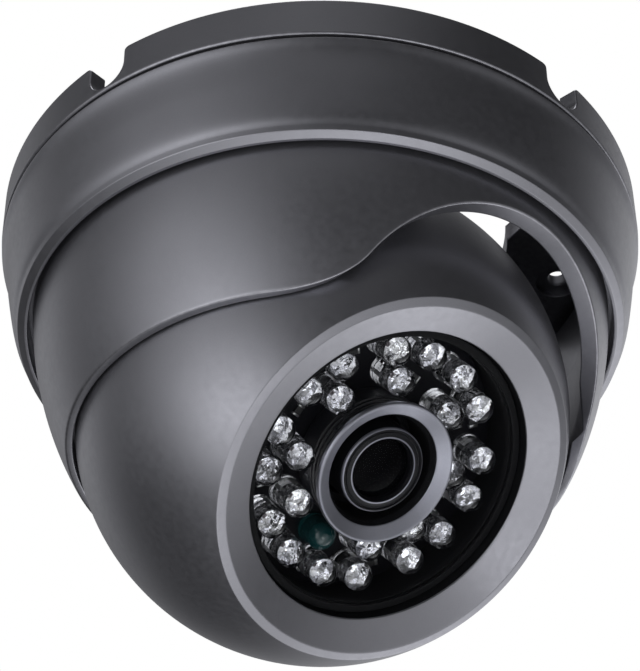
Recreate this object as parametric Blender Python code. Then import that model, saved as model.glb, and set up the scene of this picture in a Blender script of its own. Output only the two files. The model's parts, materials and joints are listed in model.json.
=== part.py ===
"""Dome CCTV camera with a tilting, rolling ball and a panning dome shroud.

Frame: metres, +Z up. The origin is the ball's centre, where the pan, tilt and roll axes cross.
The base, trim ring and shroud are drawn from the ceiling face, which is CEILING_Z above the origin:
their heights below are measured from that face. The ball's pieces are drawn from the ball's centre.
The ball tilts in the YZ plane and looks towards -Y and down. +X is the tilt axis.
Azimuths in this file are measured from -Y towards +X.
"""

import math

import bmesh
import bpy

MM = 0.001

# Mounting base, fixed to the ceiling.
BASE_RADIUS = 57.5 * MM
BASE_WALL = 3.3 * MM
BASE_BOTTOM = -8.0 * MM
BASE_EDGE = 0.4 * MM
SPIGOT_RADIUS = 55.4 * MM
SPIGOT_BOTTOM = -8.5 * MM
WEB_TOP = -5.5 * MM
SKIRT_OUTER = 52.4 * MM
SKIRT_INNER = 49.6 * MM
SKIRT_BOTTOM = -19.3 * MM

# Cable notches in the base's outer wall: two pairs, one pair across from the other.
NOTCH_PAIR_MIDDLE = -43.6
NOTCH_PAIR_HALF = 42.3
NOTCH_RADIUS = 3.75 * MM
NOTCH_CENTRE_Z = -3.3 * MM
NOTCH_CORNER = 0.9 * MM

# Mounting lands inside the base, each with one screw hole.
LAND_COUNT = 4
LAND_AZIMUTH = 55.0
LAND_HALF_ANGLE = 22.0
LAND_CHAMFER_ANGLE = 6.0
LAND_CHAMFER = 3.5 * MM
LAND_INNER = 34.0 * MM
LAND_THICKNESS = 3.5 * MM
SCREW_CIRCLE_RADIUS = 45.2 * MM
SCREW_HOLE_RADIUS = 1.8 * MM
SCREW_SEAT_RADIUS = 4.0 * MM
SCREW_SEAT_Z = -2.5 * MM

# Bayonet between the base and the trim ring.
LUG_COUNT = 3
LUG_AZIMUTH = 21.3
BASE_LUG_HALF = 15.0
RING_LUG_HALF = 13.0
LUG_OVERLAP = 0.6 * MM
BASE_LUG_OUTER = 54.2 * MM
BASE_LUG_TOP = -12.0 * MM
BASE_LUG_BOTTOM = -14.0 * MM
RING_LUG_INNER = 52.8 * MM
RING_LUG_TOP = -9.7 * MM
RING_LUG_BOTTOM = -11.7 * MM

# Trim ring.
RING_TOP = -8.8 * MM
RING_TOP_RADIUS = 57.35 * MM
RING_UPPER_BORE = 54.6 * MM
RING_BORE = 53.5 * MM
RING_LIP = 51.5 * MM
RING_LIP_TOP = -23.2 * MM
RING_RIM_BOTTOM = -26.75 * MM
RING_BORE_TOP = -15.2 * MM
RING_BORE_SLOPE = 0.8 * MM
RING_LIP_CHAMFER = 0.6 * MM
RING_EDGE = 0.35 * MM

# The trim ring's outside, as (radius, height): a gently curved face, then a rounded rim.
RING_FACE = (
    (56.5 * MM, -11.5 * MM),
    (55.6 * MM, -17.3 * MM),
    (54.5 * MM, -23.0 * MM),
    (53.2 * MM, -25.8 * MM),
)
RING_RIM = (
    (52.8 * MM, -26.45 * MM),
    (52.3 * MM, RING_RIM_BOTTOM),
    (51.8 * MM, -26.6 * MM),
)

# Friction ring between the base's skirt and the shroud's flange.
FRICTION_INNER = 50.2 * MM
FRICTION_OUTER = 52.6 * MM
FRICTION_TOP = -19.6 * MM
FRICTION_BOTTOM = -21.1 * MM

# Dome shroud: its outer profile is one arc.
FLANGE_TOP = -21.4 * MM
FLANGE_BOTTOM = -22.9 * MM
FLANGE_RADIUS = 53.0 * MM
SHROUD_TOP_RADIUS = 50.9 * MM
SHROUD_ARC_TOP = -23.0 * MM
SHROUD_RIM = -50.9 * MM
SHROUD_ARC_RADIUS = 69.6 * MM
SHROUD_ARC_CENTRE_R = -18.7 * MM
SHROUD_ARC_CENTRE_Z = -19.5 * MM
SHROUD_WALL = 3.3 * MM
SHROUD_EDGE = 0.5 * MM
SHROUD_POCKET_RADIUS = 44.45 * MM
SHROUD_POCKET_TOP = -44.5 * MM
SHROUD_POCKET_BOTTOM = -47.2 * MM
SHROUD_LIP_TOP = -47.8 * MM

# Arch in the front of the shroud: half an ellipse with flared feet.
ARCH_HALF_WIDTH = 28.9 * MM
ARCH_HEIGHT = 21.4 * MM
ARCH_FLARE = 9.0 * MM

# Pan stops: one tab on the skirt, one on the shroud.
STOP_INNER = 47.2 * MM
STOP_AZIMUTH = 1.7
STOP_HALF_ANGLE = 2.2
STOP_TOP = -16.2 * MM
STOP_BOTTOM = -19.1 * MM
SHROUD_STOP_TOP = -17.2 * MM

# Ball.
BALL_RADIUS = 42.5 * MM
CEILING_Z = 42.5 * MM
BALL_CENTRE_Z = -CEILING_Z
BALL_WALL = 2.4 * MM
BALL_TILT = math.radians(36.6)
BALL_SPLIT = -10.0 * MM
BALL_REAR_RADIUS = 41.8 * MM
BALL_DRAW_IN_END = -16.0 * MM
BALL_REAR_FLAT = -33.0 * MM
GAP = 0.3 * MM
FIT = 0.1 * MM
BEYOND = 1.0 * MM

# Front face of the ball, as heights above the ball's centre along the optical axis.
BEZEL_RADIUS = 32.1 * MM
BEZEL_CREST_RADIUS = 30.6 * MM
BEZEL_CREST = 28.25 * MM
WINDOW_RADIUS = 25.5 * MM
WINDOW_EDGE = 25.8 * MM
WINDOW_EDGE_BREAK = 0.2 * MM
WINDOW_FRONT = 25.6 * MM
WINDOW_BACK = 24.4 * MM
WINDOW_CHAMFER = 0.3 * MM
LEDGE_TOP = 23.2 * MM
LEDGE_BOTTOM = 22.0 * MM
LEDGE_INNER = 23.7 * MM
WELL_INNER = 25.0 * MM
WELL_OUTER = 26.6 * MM
WELL_BOTTOM = 11.5 * MM
WELL_SHOULDER = 21.6 * MM
FACE_BACK = 24.0 * MM

# Shell screws, in pockets that open behind the ball.
SHELL_SCREW_CIRCLE = 36.0 * MM
SHELL_SCREW_ANGLES = (90.0, 210.0, 330.0)
FRONT_BOSS_RADIUS = 3.0 * MM
FRONT_BOSS_TOP = 13.0 * MM
REAR_BOSS_RADIUS = 4.1 * MM
REAR_BOSS_BOTTOM = -26.0 * MM
SHELL_SCREW_TIP = 2.0 * MM
SHELL_SEAT = -13.0 * MM
SHELL_SEAT_GAP = 0.15 * MM
SHELL_SHANK = 1.25 * MM
SHELL_HEAD = 2.6 * MM
SHELL_HEAD_HEIGHT = 2.0 * MM

# Sealing ring in the split.
SEAL_RADIUS = 40.0 * MM
SEAL_SECTION = 0.45 * MM
SEAL_LIFT = 0.35 * MM
SEAL_GROOVE = 0.65 * MM
SEAL_DEPTH = 1.0 * MM

# Neck, hub and cradle behind the ball.
NECK_OUTER = 6.9 * MM
NECK_INNER = 4.6 * MM
NECK_END = -37.6 * MM
CRADLE_INNER = 42.85 * MM
CRADLE_THICKNESS = 1.0 * MM
CRADLE_HALF_WIDTH = 4.0 * MM
EYE_RADIUS = 4.3 * MM
EYE_INSET = 0.05 * MM
HUB_TOP = -33.4 * MM
HUB_BOTTOM = -34.9 * MM
HUB_RADIUS = 11.0 * MM
HUB_NUT_RADIUS = 10.0 * MM
HUB_NUT_HEIGHT = 2.0 * MM
PIVOT_RADIUS = 1.5 * MM
PIVOT_INNER = 42.8 * MM
PIVOT_OUTER = 46.1 * MM

# Light-emitting diodes, 5 mm type.
LED_RADIUS = 2.5 * MM
LED_FLANGE_RADIUS = 2.65 * MM
LED_FLANGE = 0.8 * MM
LED_DOME_CENTRE = 20.6 * MM
LED_OUTER_CIRCLE = 20.2 * MM
LED_INNER_CIRCLE = 14.9 * MM
LED_OUTER_OFFSETS = (-31.0, -11.0, 11.0, 31.0)
LED_INNER_ANGLES = (-22.0, 22.0, 65.5, 114.5, 158.0, 202.0, 235.0, 305.0)
SENSOR_LAMP_ANGLE = 272.0
SENSOR_LAMP_CIRCLE = 15.0 * MM
SENSOR_LAMP_DOME = 18.6 * MM

# Boards, lens and holder.
BOARD_TOP = 14.5 * MM
BOARD_THICKNESS = 1.6 * MM
LED_BOARD_RADIUS = 24.6 * MM
LED_BOARD_HOLE = 8.2 * MM
SENSOR_BOARD_HALF = 19.0 * MM
SENSOR_BOARD_TOP = -4.5 * MM
CHIP_HALF = 5.0 * MM
CHIP_HEIGHT = 1.5 * MM
STANDOFF_CIRCLE = 17.5 * MM
STANDOFF_RADIUS = 2.0 * MM
HOOD_OUTER = 12.1 * MM
HOOD_INNER = 9.4 * MM
HOOD_BASE_OUTER = 11.6 * MM
HOOD_SLOPE_FOOT = 22.4 * MM
HOOD_SLOPE_TOP = 23.0 * MM
HOOD_FRONT = 24.1 * MM
HOOD_EDGE = 0.4 * MM
HOOD_FACE = 1.5 * MM
HOOD_MOUTH = 1.2 * MM
LENS_HEAD_RADIUS = 7.5 * MM
LENS_HEAD_BACK = 14.0 * MM
LENS_FRONT = 22.8 * MM
LENS_THREAD_RADIUS = 5.85 * MM
LENS_BACK = 3.0 * MM
LENS_POCKET_RADIUS = 5.5 * MM
LENS_POCKET_FLOOR = 20.9 * MM
LENS_CHAMFER = 0.4 * MM
ELEMENT_RADIUS = 5.3 * MM
ELEMENT_EDGE = 0.4 * MM
ELEMENT_CROWN = 1.1 * MM
HOLDER_RADIUS = 8.0 * MM
HOLDER_TOP = 9.0 * MM
HOLDER_FOOT_RADIUS = 10.0 * MM
HOLDER_FOOT_TOP = -2.2 * MM
HOLDER_NECK_RADIUS = 8.6 * MM
HOLDER_NECK = -1.4 * MM
HOLDER_BORE_FOOT = 2.0 * MM
CHAMBER_RADIUS = 7.5 * MM
CHAMBER_TOP = 0.4 * MM
LOCK_RING_RADIUS = 7.8 * MM
LOCK_RING_BOTTOM = 9.4 * MM
LOCK_RING_TOP = 11.4 * MM

# Cable.
GROMMET_FLANGE = 6.2 * MM
GROMMET_TUBE = 4.45 * MM
GROMMET_BORE = 2.6 * MM
GROMMET_NOSE = 3.6 * MM
GROMMET_NOSE_LENGTH = 1.5 * MM
GROMMET_RIM = 0.9 * MM
CABLE_RADIUS = 2.4 * MM
CABLE_START = -20.0 * MM
CABLE_END = -41.0 * MM

RING_STEPS = 48
BALL_STEPS = 40
SMALL_STEPS = 20
LED_STEPS = 8


def clear_scene():
    for old in list(bpy.data.objects):
        bpy.data.objects.remove(old, do_unlink=True)


def material(name, colour, roughness, metallic=0.0):
    made = bpy.data.materials.new(name)
    made.use_nodes = True
    shader = made.node_tree.nodes["Principled BSDF"]
    shader.inputs["Base Color"].default_value = (*colour, 1.0)
    shader.inputs["Roughness"].default_value = roughness
    shader.inputs["Metallic"].default_value = metallic
    return made


def finished_object(name, bm, finish, parent=None):
    """The mesh as a named object with outward faces, shaded smooth across soft angles."""
    bmesh.ops.recalc_face_normals(bm, faces=bm.faces)
    mesh = bpy.data.meshes.new(name)
    bm.to_mesh(mesh)
    bm.free()
    mesh.shade_smooth()
    mesh.set_sharp_from_angle(angle=math.radians(35.0))
    made = bpy.data.objects.new(name, mesh)
    if finish is not None:
        mesh.materials.append(finish)
    bpy.context.scene.collection.objects.link(made)
    made.parent = parent
    return made


def add_turned(bm, profile, steps):
    """A closed profile of (radius, height) points turned about Z. Points at radius 0 lie on the axis."""
    rings = []
    for radius, height in profile:
        if radius < 1e-9:
            rings.append([bm.verts.new((0.0, 0.0, height))] * steps)
            continue
        ring = []
        for step in range(steps):
            turn = 2.0 * math.pi * step / steps
            ring.append(bm.verts.new((radius * math.cos(turn), radius * math.sin(turn), height)))
        rings.append(ring)
    for here, there in zip(rings, rings[1:] + rings[:1]):
        for step in range(steps):
            after = (step + 1) % steps
            corners = []
            for vert in (here[step], here[after], there[after], there[step]):
                if vert not in corners:
                    corners.append(vert)
            if len(corners) > 2:
                bm.faces.new(corners)


def turned(name, profile, steps, finish, parent=None):
    bm = bmesh.new()
    add_turned(bm, profile, steps)
    return finished_object(name, bm, finish, parent)


def add_prism(bm, outline, low, high, place):
    """An outline of (u, v) points, extruded from low to high. place turns (u, v, w) into a position."""
    bottom = [bm.verts.new(place(u, v, low)) for u, v in outline]
    top = [bm.verts.new(place(u, v, high)) for u, v in outline]
    bm.faces.new(bottom)
    bm.faces.new(top)
    for index in range(len(outline)):
        after = (index + 1) % len(outline)
        bm.faces.new((bottom[index], bottom[after], top[after], top[index]))


def upright(u, v, w):
    return (u, v, w)


def arc(centre_u, centre_v, radius, start, end, steps):
    """Points on a circle from one angle to another, in degrees, both ends included."""
    points = []
    for step in range(steps + 1):
        turn = math.radians(start + (end - start) * step / steps)
        points.append((centre_u + radius * math.cos(turn), centre_v + radius * math.sin(turn)))
    return points


def at_azimuth(radius, azimuth):
    """The (x, y) at a radius and an azimuth in degrees, from -Y towards +X."""
    turn = math.radians(azimuth)
    return (radius * math.sin(turn), -radius * math.cos(turn))


def sector_outline(inner, outer, azimuth, half_angle, steps=6):
    outline = []
    for step in range(steps + 1):
        outline.append(at_azimuth(outer, azimuth - half_angle + 2.0 * half_angle * step / steps))
    for step in range(steps + 1):
        outline.append(at_azimuth(inner, azimuth + half_angle - 2.0 * half_angle * step / steps))
    return outline


def helper(name, bm, parent):
    """A cutter or an added shape: it takes part in a Boolean and isn't a piece itself."""
    made = finished_object(name, bm, None, parent)
    made.hide_render = True
    made.display_type = "WIRE"
    return made


def combine(target, other, operation):
    boolean = target.modifiers.new(other.name, "BOOLEAN")
    boolean.operation = operation
    boolean.solver = "EXACT"
    boolean.object = other


def base_profile():
    return [
        (BASE_RADIUS, 0.0),
        (BASE_RADIUS, BASE_BOTTOM + BASE_EDGE),
        (BASE_RADIUS - BASE_EDGE, BASE_BOTTOM),
        (SPIGOT_RADIUS, BASE_BOTTOM),
        (SPIGOT_RADIUS, SPIGOT_BOTTOM),
        (SKIRT_OUTER, SPIGOT_BOTTOM),
        (SKIRT_OUTER, SKIRT_BOTTOM),
        (SKIRT_INNER, SKIRT_BOTTOM),
        (SKIRT_INNER, WEB_TOP),
        (BASE_RADIUS - BASE_WALL, WEB_TOP),
        (BASE_RADIUS - BASE_WALL, 0.0),
    ]


def notch_outline():
    """The U of a cable notch, with rounded top corners, as (across, height) points."""
    side = NOTCH_RADIUS + NOTCH_CORNER
    outline = [(side, BEYOND)]
    outline += arc(side, -NOTCH_CORNER, NOTCH_CORNER, 90.0, 180.0, 3)
    outline += arc(0.0, NOTCH_CENTRE_Z, NOTCH_RADIUS, 0.0, -180.0, 10)
    outline += arc(-side, -NOTCH_CORNER, NOTCH_CORNER, 0.0, 90.0, 3)
    outline.append((-side, BEYOND))
    return outline


def add_notches(bm):
    inner = SKIRT_OUTER + GAP
    outer = BASE_RADIUS + BEYOND
    for side in (-1.0, 1.0):
        for turn in (0.0, 180.0):
            azimuth = math.radians(NOTCH_PAIR_MIDDLE + side * NOTCH_PAIR_HALF + turn)
            out = (math.sin(azimuth), -math.cos(azimuth))

            def place(across, height, radius, out=out):
                return (radius * out[0] - across * out[1], radius * out[1] + across * out[0], height)

            add_prism(bm, notch_outline(), inner, outer, place)


def land_outline(azimuth):
    """A mounting land seen from below: a wide sector with its two inner corners cut off."""
    outer = SPIGOT_RADIUS
    steps = 8
    outline = []
    for step in range(steps + 1):
        outline.append(at_azimuth(outer, azimuth - LAND_HALF_ANGLE + 2.0 * LAND_HALF_ANGLE * step / steps))
    outline.append(at_azimuth(LAND_INNER + LAND_CHAMFER, azimuth + LAND_HALF_ANGLE))
    inner_half = LAND_HALF_ANGLE - LAND_CHAMFER_ANGLE
    for step in range(steps + 1):
        outline.append(at_azimuth(LAND_INNER, azimuth + inner_half - 2.0 * inner_half * step / steps))
    outline.append(at_azimuth(LAND_INNER + LAND_CHAMFER, azimuth - LAND_HALF_ANGLE))
    return outline


def screw_axes():
    """Where the ceiling screws go through the lands, as (x, y)."""
    azimuths = [LAND_AZIMUTH + 360.0 * land / LAND_COUNT for land in range(LAND_COUNT)]
    return [at_azimuth(SCREW_CIRCLE_RADIUS, azimuth) for azimuth in azimuths]


def make_base(finish, parent):
    base = turned("mounting_base", base_profile(), RING_STEPS, finish, parent)

    added = bmesh.new()
    for land in range(LAND_COUNT):
        azimuth = LAND_AZIMUTH + 360.0 * land / LAND_COUNT
        add_prism(added, land_outline(azimuth), -LAND_THICKNESS, 0.0, upright)
    combine(base, helper("base_lands", added, parent), "UNION")

    lugs = bmesh.new()
    for lug in range(LUG_COUNT):
        azimuth = LUG_AZIMUTH + 360.0 * lug / LUG_COUNT
        outline = sector_outline(SKIRT_OUTER - LUG_OVERLAP, BASE_LUG_OUTER, azimuth, BASE_LUG_HALF)
        add_prism(lugs, outline, BASE_LUG_BOTTOM, BASE_LUG_TOP, upright)
    stop = sector_outline(STOP_INNER, SKIRT_INNER + LUG_OVERLAP, STOP_AZIMUTH, STOP_HALF_ANGLE, 2)
    add_prism(lugs, stop, STOP_BOTTOM, STOP_TOP, upright)
    combine(base, helper("base_lugs", lugs, parent), "UNION")

    removed = bmesh.new()
    add_notches(removed)
    for x, y in screw_axes():
        hole = arc(x, y, SCREW_HOLE_RADIUS, 0.0, 345.0, 23)
        add_prism(removed, hole, -LAND_THICKNESS - BEYOND, BEYOND, upright)
    combine(base, helper("base_openings", removed, parent), "DIFFERENCE")

    seats = bmesh.new()
    for x, y in screw_axes():
        seat = arc(x, y, SCREW_SEAT_RADIUS, 0.0, 345.0, 23)
        add_prism(seats, seat, -LAND_THICKNESS - BEYOND, SCREW_SEAT_Z, upright)
    combine(base, helper("base_screw_seats", seats, parent), "DIFFERENCE")
    return base


def ring_profile():
    return [
        (RING_TOP_RADIUS - RING_EDGE, RING_TOP),
        (RING_TOP_RADIUS, RING_TOP - RING_EDGE),
        *RING_FACE,
        *RING_RIM,
        (RING_LIP, RING_RIM_BOTTOM + RING_LIP_CHAMFER),
        (RING_LIP, RING_LIP_TOP),
        (RING_BORE, RING_LIP_TOP),
        (RING_BORE, RING_BORE_TOP),
        (RING_UPPER_BORE, RING_BORE_TOP + RING_BORE_SLOPE),
        (RING_UPPER_BORE, RING_TOP),
    ]


def make_trim_ring(finish, parent):
    ring = turned("trim_ring", ring_profile(), RING_STEPS, finish, parent)
    lugs = bmesh.new()
    for lug in range(LUG_COUNT):
        azimuth = LUG_AZIMUTH + 360.0 * lug / LUG_COUNT
        outline = sector_outline(RING_LUG_INNER, RING_UPPER_BORE + LUG_OVERLAP, azimuth, RING_LUG_HALF)
        add_prism(lugs, outline, RING_LUG_BOTTOM, RING_LUG_TOP, upright)
    combine(ring, helper("ring_lugs", lugs, parent), "UNION")
    return ring


def make_friction_ring(finish, parent):
    profile = [
        (FRICTION_OUTER, FRICTION_TOP),
        (FRICTION_OUTER, FRICTION_BOTTOM),
        (FRICTION_INNER, FRICTION_BOTTOM),
        (FRICTION_INNER, FRICTION_TOP),
    ]
    return turned("pan_friction_ring", profile, RING_STEPS, finish, parent)


def shroud_radius(z):
    """Outer radius of the shroud's arc at a height."""
    return SHROUD_ARC_CENTRE_R + math.sqrt(SHROUD_ARC_RADIUS**2 - (z - SHROUD_ARC_CENTRE_Z) ** 2)


def shroud_profile():
    outer_steps = 8
    inner_steps = 4
    profile = [
        (SHROUD_TOP_RADIUS - SHROUD_WALL, FLANGE_TOP),
        (FLANGE_RADIUS, FLANGE_TOP),
        (FLANGE_RADIUS, FLANGE_BOTTOM),
        (SHROUD_TOP_RADIUS, FLANGE_BOTTOM),
    ]
    for step in range(1, outer_steps + 1):
        z = SHROUD_ARC_TOP + (SHROUD_RIM + SHROUD_EDGE - SHROUD_ARC_TOP) * step / outer_steps
        profile.append((shroud_radius(z), z))
    profile.append((shroud_radius(SHROUD_RIM) - SHROUD_EDGE, SHROUD_RIM))
    profile.append((lip_radius(SHROUD_RIM), SHROUD_RIM))
    profile.append((lip_radius(SHROUD_LIP_TOP), SHROUD_LIP_TOP))
    profile.append((SHROUD_POCKET_RADIUS, SHROUD_POCKET_BOTTOM))
    for step in range(inner_steps + 1):
        z = SHROUD_POCKET_TOP + (SHROUD_ARC_TOP - SHROUD_POCKET_TOP) * step / inner_steps
        profile.append((max(SHROUD_POCKET_RADIUS, shroud_radius(z) - SHROUD_WALL), z))
    return profile


def lip_radius(z):
    """Inner radius of the shroud's lip, which follows the ball."""
    return sphere_radius_at(BALL_RADIUS, z - BALL_CENTRE_Z) + GAP + FIT


def arch_foot():
    """Angle on the arch's ellipse where the flare starts, and the flare's centre."""
    low, high = 0.0, math.pi / 2.0
    for _ in range(40):
        middle = (low + high) / 2.0
        normal_u = math.cos(middle) / ARCH_HALF_WIDTH
        normal_v = math.sin(middle) / ARCH_HEIGHT
        length = math.hypot(normal_u, normal_v)
        height = ARCH_HEIGHT * math.sin(middle) + ARCH_FLARE * normal_v / length
        if height < ARCH_FLARE:
            low = middle
        else:
            high = middle
    centre_u = ARCH_HALF_WIDTH * math.cos(low) + ARCH_FLARE * normal_u / length
    return math.degrees(low), centre_u, math.degrees(math.atan2(normal_v, normal_u))


def arch_outline():
    """The arch as (x, z) points, with its feet carried on below the rim."""
    start, centre, normal = arch_foot()
    right = [(centre, SHROUD_RIM - BEYOND)]
    right += arc(centre, SHROUD_RIM + ARCH_FLARE, ARCH_FLARE, 270.0, 180.0 + normal, 6)
    steps = 14
    for step in range(1, steps + 1):
        turn = math.radians(start + (90.0 - start) * step / steps)
        right.append((ARCH_HALF_WIDTH * math.cos(turn), SHROUD_RIM + ARCH_HEIGHT * math.sin(turn)))
    left = [(-x, z) for x, z in reversed(right[:-1])]
    return right + left


def make_shroud(finish, parent):
    shroud = turned("dome_shroud", shroud_profile(), RING_STEPS, finish, parent)

    added = bmesh.new()
    tab = sector_outline(STOP_INNER, SKIRT_INNER - GAP, STOP_AZIMUTH + 180.0, STOP_HALF_ANGLE, 2)
    add_prism(added, tab, FLANGE_TOP - LUG_OVERLAP, SHROUD_STOP_TOP, upright)
    combine(shroud, helper("shroud_stop", added, parent), "UNION")

    removed = bmesh.new()

    def forwards(x, z, y):
        return (x, y, z)

    add_prism(removed, arch_outline(), -BASE_RADIUS, -BALL_WALL, forwards)

    def sideways(y, z, x):
        return (x, y, z)

    hole = arc(0.0, BALL_CENTRE_Z, PIVOT_RADIUS + FIT, 0.0, 330.0, 11)
    reach = PIVOT_OUTER + FIT
    add_prism(removed, hole, -reach, -PIVOT_INNER, sideways)
    add_prism(removed, hole, PIVOT_INNER, reach, sideways)
    combine(shroud, helper("shroud_openings", removed, parent), "DIFFERENCE")
    return shroud


def make_pivot_pin(name, side, finish, parent):
    """A short pin on the tilt axis. Its origin is on the axis, at the ball's centre."""
    bm = bmesh.new()

    def sideways(y, z, x):
        return (side * x, y, z)

    circle = arc(0.0, 0.0, PIVOT_RADIUS, 0.0, 330.0, 11)
    add_prism(bm, circle, PIVOT_INNER, PIVOT_OUTER, sideways)
    pin = finished_object(name, bm, finish, parent)
    pin.location = (0.0, 0.0, BALL_CENTRE_Z)
    return pin


def cradle_outline():
    """The cradle's strap as (x, height) points: an arc on each side and a flat behind the ball."""
    outer = CRADLE_INNER + CRADLE_THICKNESS
    outer_flat = math.degrees(math.asin(HUB_BOTTOM / outer))
    inner_flat = math.degrees(math.asin(HUB_TOP / CRADLE_INNER))
    steps = 10
    outline = arc(0.0, 0.0, outer, 0.0, outer_flat, steps)
    outline += arc(0.0, 0.0, outer, 180.0 - outer_flat, 180.0, steps)
    outline += arc(0.0, 0.0, CRADLE_INNER, 180.0, 180.0 - inner_flat, steps)
    outline += arc(0.0, 0.0, CRADLE_INNER, inner_flat, 0.0, steps)
    return outline


def make_cradle(finish, parent):
    bm = bmesh.new()

    def across(x, height, y):
        return (x, y, height)

    add_prism(bm, cradle_outline(), -CRADLE_HALF_WIDTH, CRADLE_HALF_WIDTH, across)
    cradle = finished_object("tilt_cradle", bm, finish, parent)

    added = bmesh.new()
    add_prism(added, arc(0.0, 0.0, HUB_RADIUS, 0.0, 350.0, 35), HUB_BOTTOM, HUB_TOP, upright)

    def sideways(y, z, x):
        return (x, y, z)

    inner = CRADLE_INNER + EYE_INSET
    outer = CRADLE_INNER + CRADLE_THICKNESS + EYE_INSET
    eye = arc(0.0, 0.0, EYE_RADIUS, 0.0, 345.0, 23)
    add_prism(added, eye, inner, outer, sideways)
    add_prism(added, eye, -outer, -inner, sideways)
    combine(cradle, helper("cradle_ends", added, parent), "UNION")

    removed = bmesh.new()
    bearing = arc(0.0, 0.0, NECK_OUTER + FIT, 0.0, 350.0, 35)
    add_prism(removed, bearing, HUB_BOTTOM - BEYOND, HUB_TOP + BEYOND, upright)
    hole = arc(0.0, 0.0, PIVOT_RADIUS + FIT, 0.0, 330.0, 11)
    reach = outer + BEYOND
    add_prism(removed, hole, -reach, reach, sideways)
    combine(cradle, helper("cradle_openings", removed, parent), "DIFFERENCE")
    return cradle


def sphere_points(radius, start, end, steps):
    """Points on a sphere between two heights, as (radius, height)."""
    first = math.degrees(math.asin(start / radius))
    last = math.degrees(math.asin(end / radius))
    return arc(0.0, 0.0, radius, first, last, steps)


def sphere_radius_at(radius, height):
    return math.sqrt(radius**2 - height**2)


def front_shell_profile():
    inner = BALL_RADIUS - BALL_WALL
    edge_height = sphere_radius_at(BALL_RADIUS, BEZEL_RADIUS)
    profile = sphere_points(BALL_RADIUS, BALL_SPLIT, edge_height, 11)
    profile += [
        (BEZEL_CREST_RADIUS, BEZEL_CREST),
        (WINDOW_RADIUS + WINDOW_EDGE_BREAK, WINDOW_EDGE),
        (WINDOW_RADIUS, WINDOW_EDGE - WINDOW_EDGE_BREAK),
        (WINDOW_RADIUS, LEDGE_TOP),
        (LEDGE_INNER, LEDGE_TOP),
        (LEDGE_INNER, LEDGE_BOTTOM),
        (WELL_INNER, LEDGE_BOTTOM),
        (WELL_INNER, WELL_BOTTOM),
        (WELL_OUTER, WELL_BOTTOM),
        (WELL_OUTER, WELL_SHOULDER),
    ]
    profile += sphere_points(inner, FACE_BACK, BALL_SPLIT, 8)
    profile += [
        (SEAL_RADIUS - SEAL_GROOVE, BALL_SPLIT),
        (SEAL_RADIUS - SEAL_GROOVE, BALL_SPLIT + SEAL_DEPTH),
        (SEAL_RADIUS + SEAL_GROOVE, BALL_SPLIT + SEAL_DEPTH),
        (SEAL_RADIUS + SEAL_GROOVE, BALL_SPLIT),
    ]
    return profile


def shell_screw_places():
    places = []
    for angle in SHELL_SCREW_ANGLES:
        turn = math.radians(angle)
        places.append((SHELL_SCREW_CIRCLE * math.cos(turn), SHELL_SCREW_CIRCLE * math.sin(turn)))
    return places


def screw_cylinders(radius, low, high, steps):
    """One upright cylinder at each shell screw."""
    bm = bmesh.new()
    last = 360.0 - 360.0 / steps
    for x, y in shell_screw_places():
        add_prism(bm, arc(x, y, radius, 0.0, last, steps - 1), low, high, upright)
    return bm


def make_front_shell(finish, parent):
    shell = turned("ball_front_shell", front_shell_profile(), BALL_STEPS, finish, parent)
    bosses = screw_cylinders(FRONT_BOSS_RADIUS, BALL_SPLIT, FRONT_BOSS_TOP, 12)
    combine(shell, helper("front_bosses", bosses, parent), "UNION")
    holes = screw_cylinders(SHELL_SHANK + FIT, BALL_SPLIT - BEYOND, SHELL_SCREW_TIP + GAP, 8)
    combine(shell, helper("front_holes", holes, parent), "DIFFERENCE")
    return shell


def rear_outer_points(draw_in):
    """The rear surface: just behind the split it draws in, so that it stays clear of the ceiling."""
    split = BALL_SPLIT - GAP
    edge = (sphere_radius_at(BALL_RADIUS - draw_in, split), split)
    return [edge] + sphere_points(BALL_REAR_RADIUS - draw_in, BALL_DRAW_IN_END, BALL_REAR_FLAT, 6)


def rear_shell_profile():
    inner = BALL_REAR_RADIUS - BALL_WALL
    inner_flat = BALL_REAR_FLAT + BALL_WALL
    profile = rear_outer_points(0.0)
    profile += [
        (NECK_OUTER, BALL_REAR_FLAT),
        (NECK_OUTER, NECK_END),
        (NECK_INNER, NECK_END),
        (NECK_INNER, inner_flat),
    ]
    profile += sphere_points(inner, inner_flat, BALL_SPLIT - GAP, 6)
    return profile


def make_rear_shell(finish, parent):
    shell = turned("ball_rear_shell", rear_shell_profile(), BALL_STEPS, finish, parent)
    split = BALL_SPLIT - GAP

    bosses = helper("rear_bosses", screw_cylinders(REAR_BOSS_RADIUS, REAR_BOSS_BOTTOM, split, 16), parent)
    inside_wall = bmesh.new()
    limit = [(0.0, split + BEYOND)] + rear_outer_points(BALL_WALL / 2.0) + [(0.0, BALL_REAR_FLAT)]
    add_turned(inside_wall, limit, BALL_STEPS)
    combine(bosses, helper("rear_boss_limit", inside_wall, parent), "INTERSECT")
    combine(shell, bosses, "UNION")

    holes = screw_cylinders(SHELL_SHANK + FIT, SHELL_SEAT - BEYOND, split + BEYOND, 8)
    combine(shell, helper("rear_holes", holes, parent), "DIFFERENCE")
    pockets = screw_cylinders(SHELL_HEAD + GAP, -BALL_RADIUS, SHELL_SEAT, 16)
    combine(shell, helper("rear_pockets", pockets, parent), "DIFFERENCE")
    return shell


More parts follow.
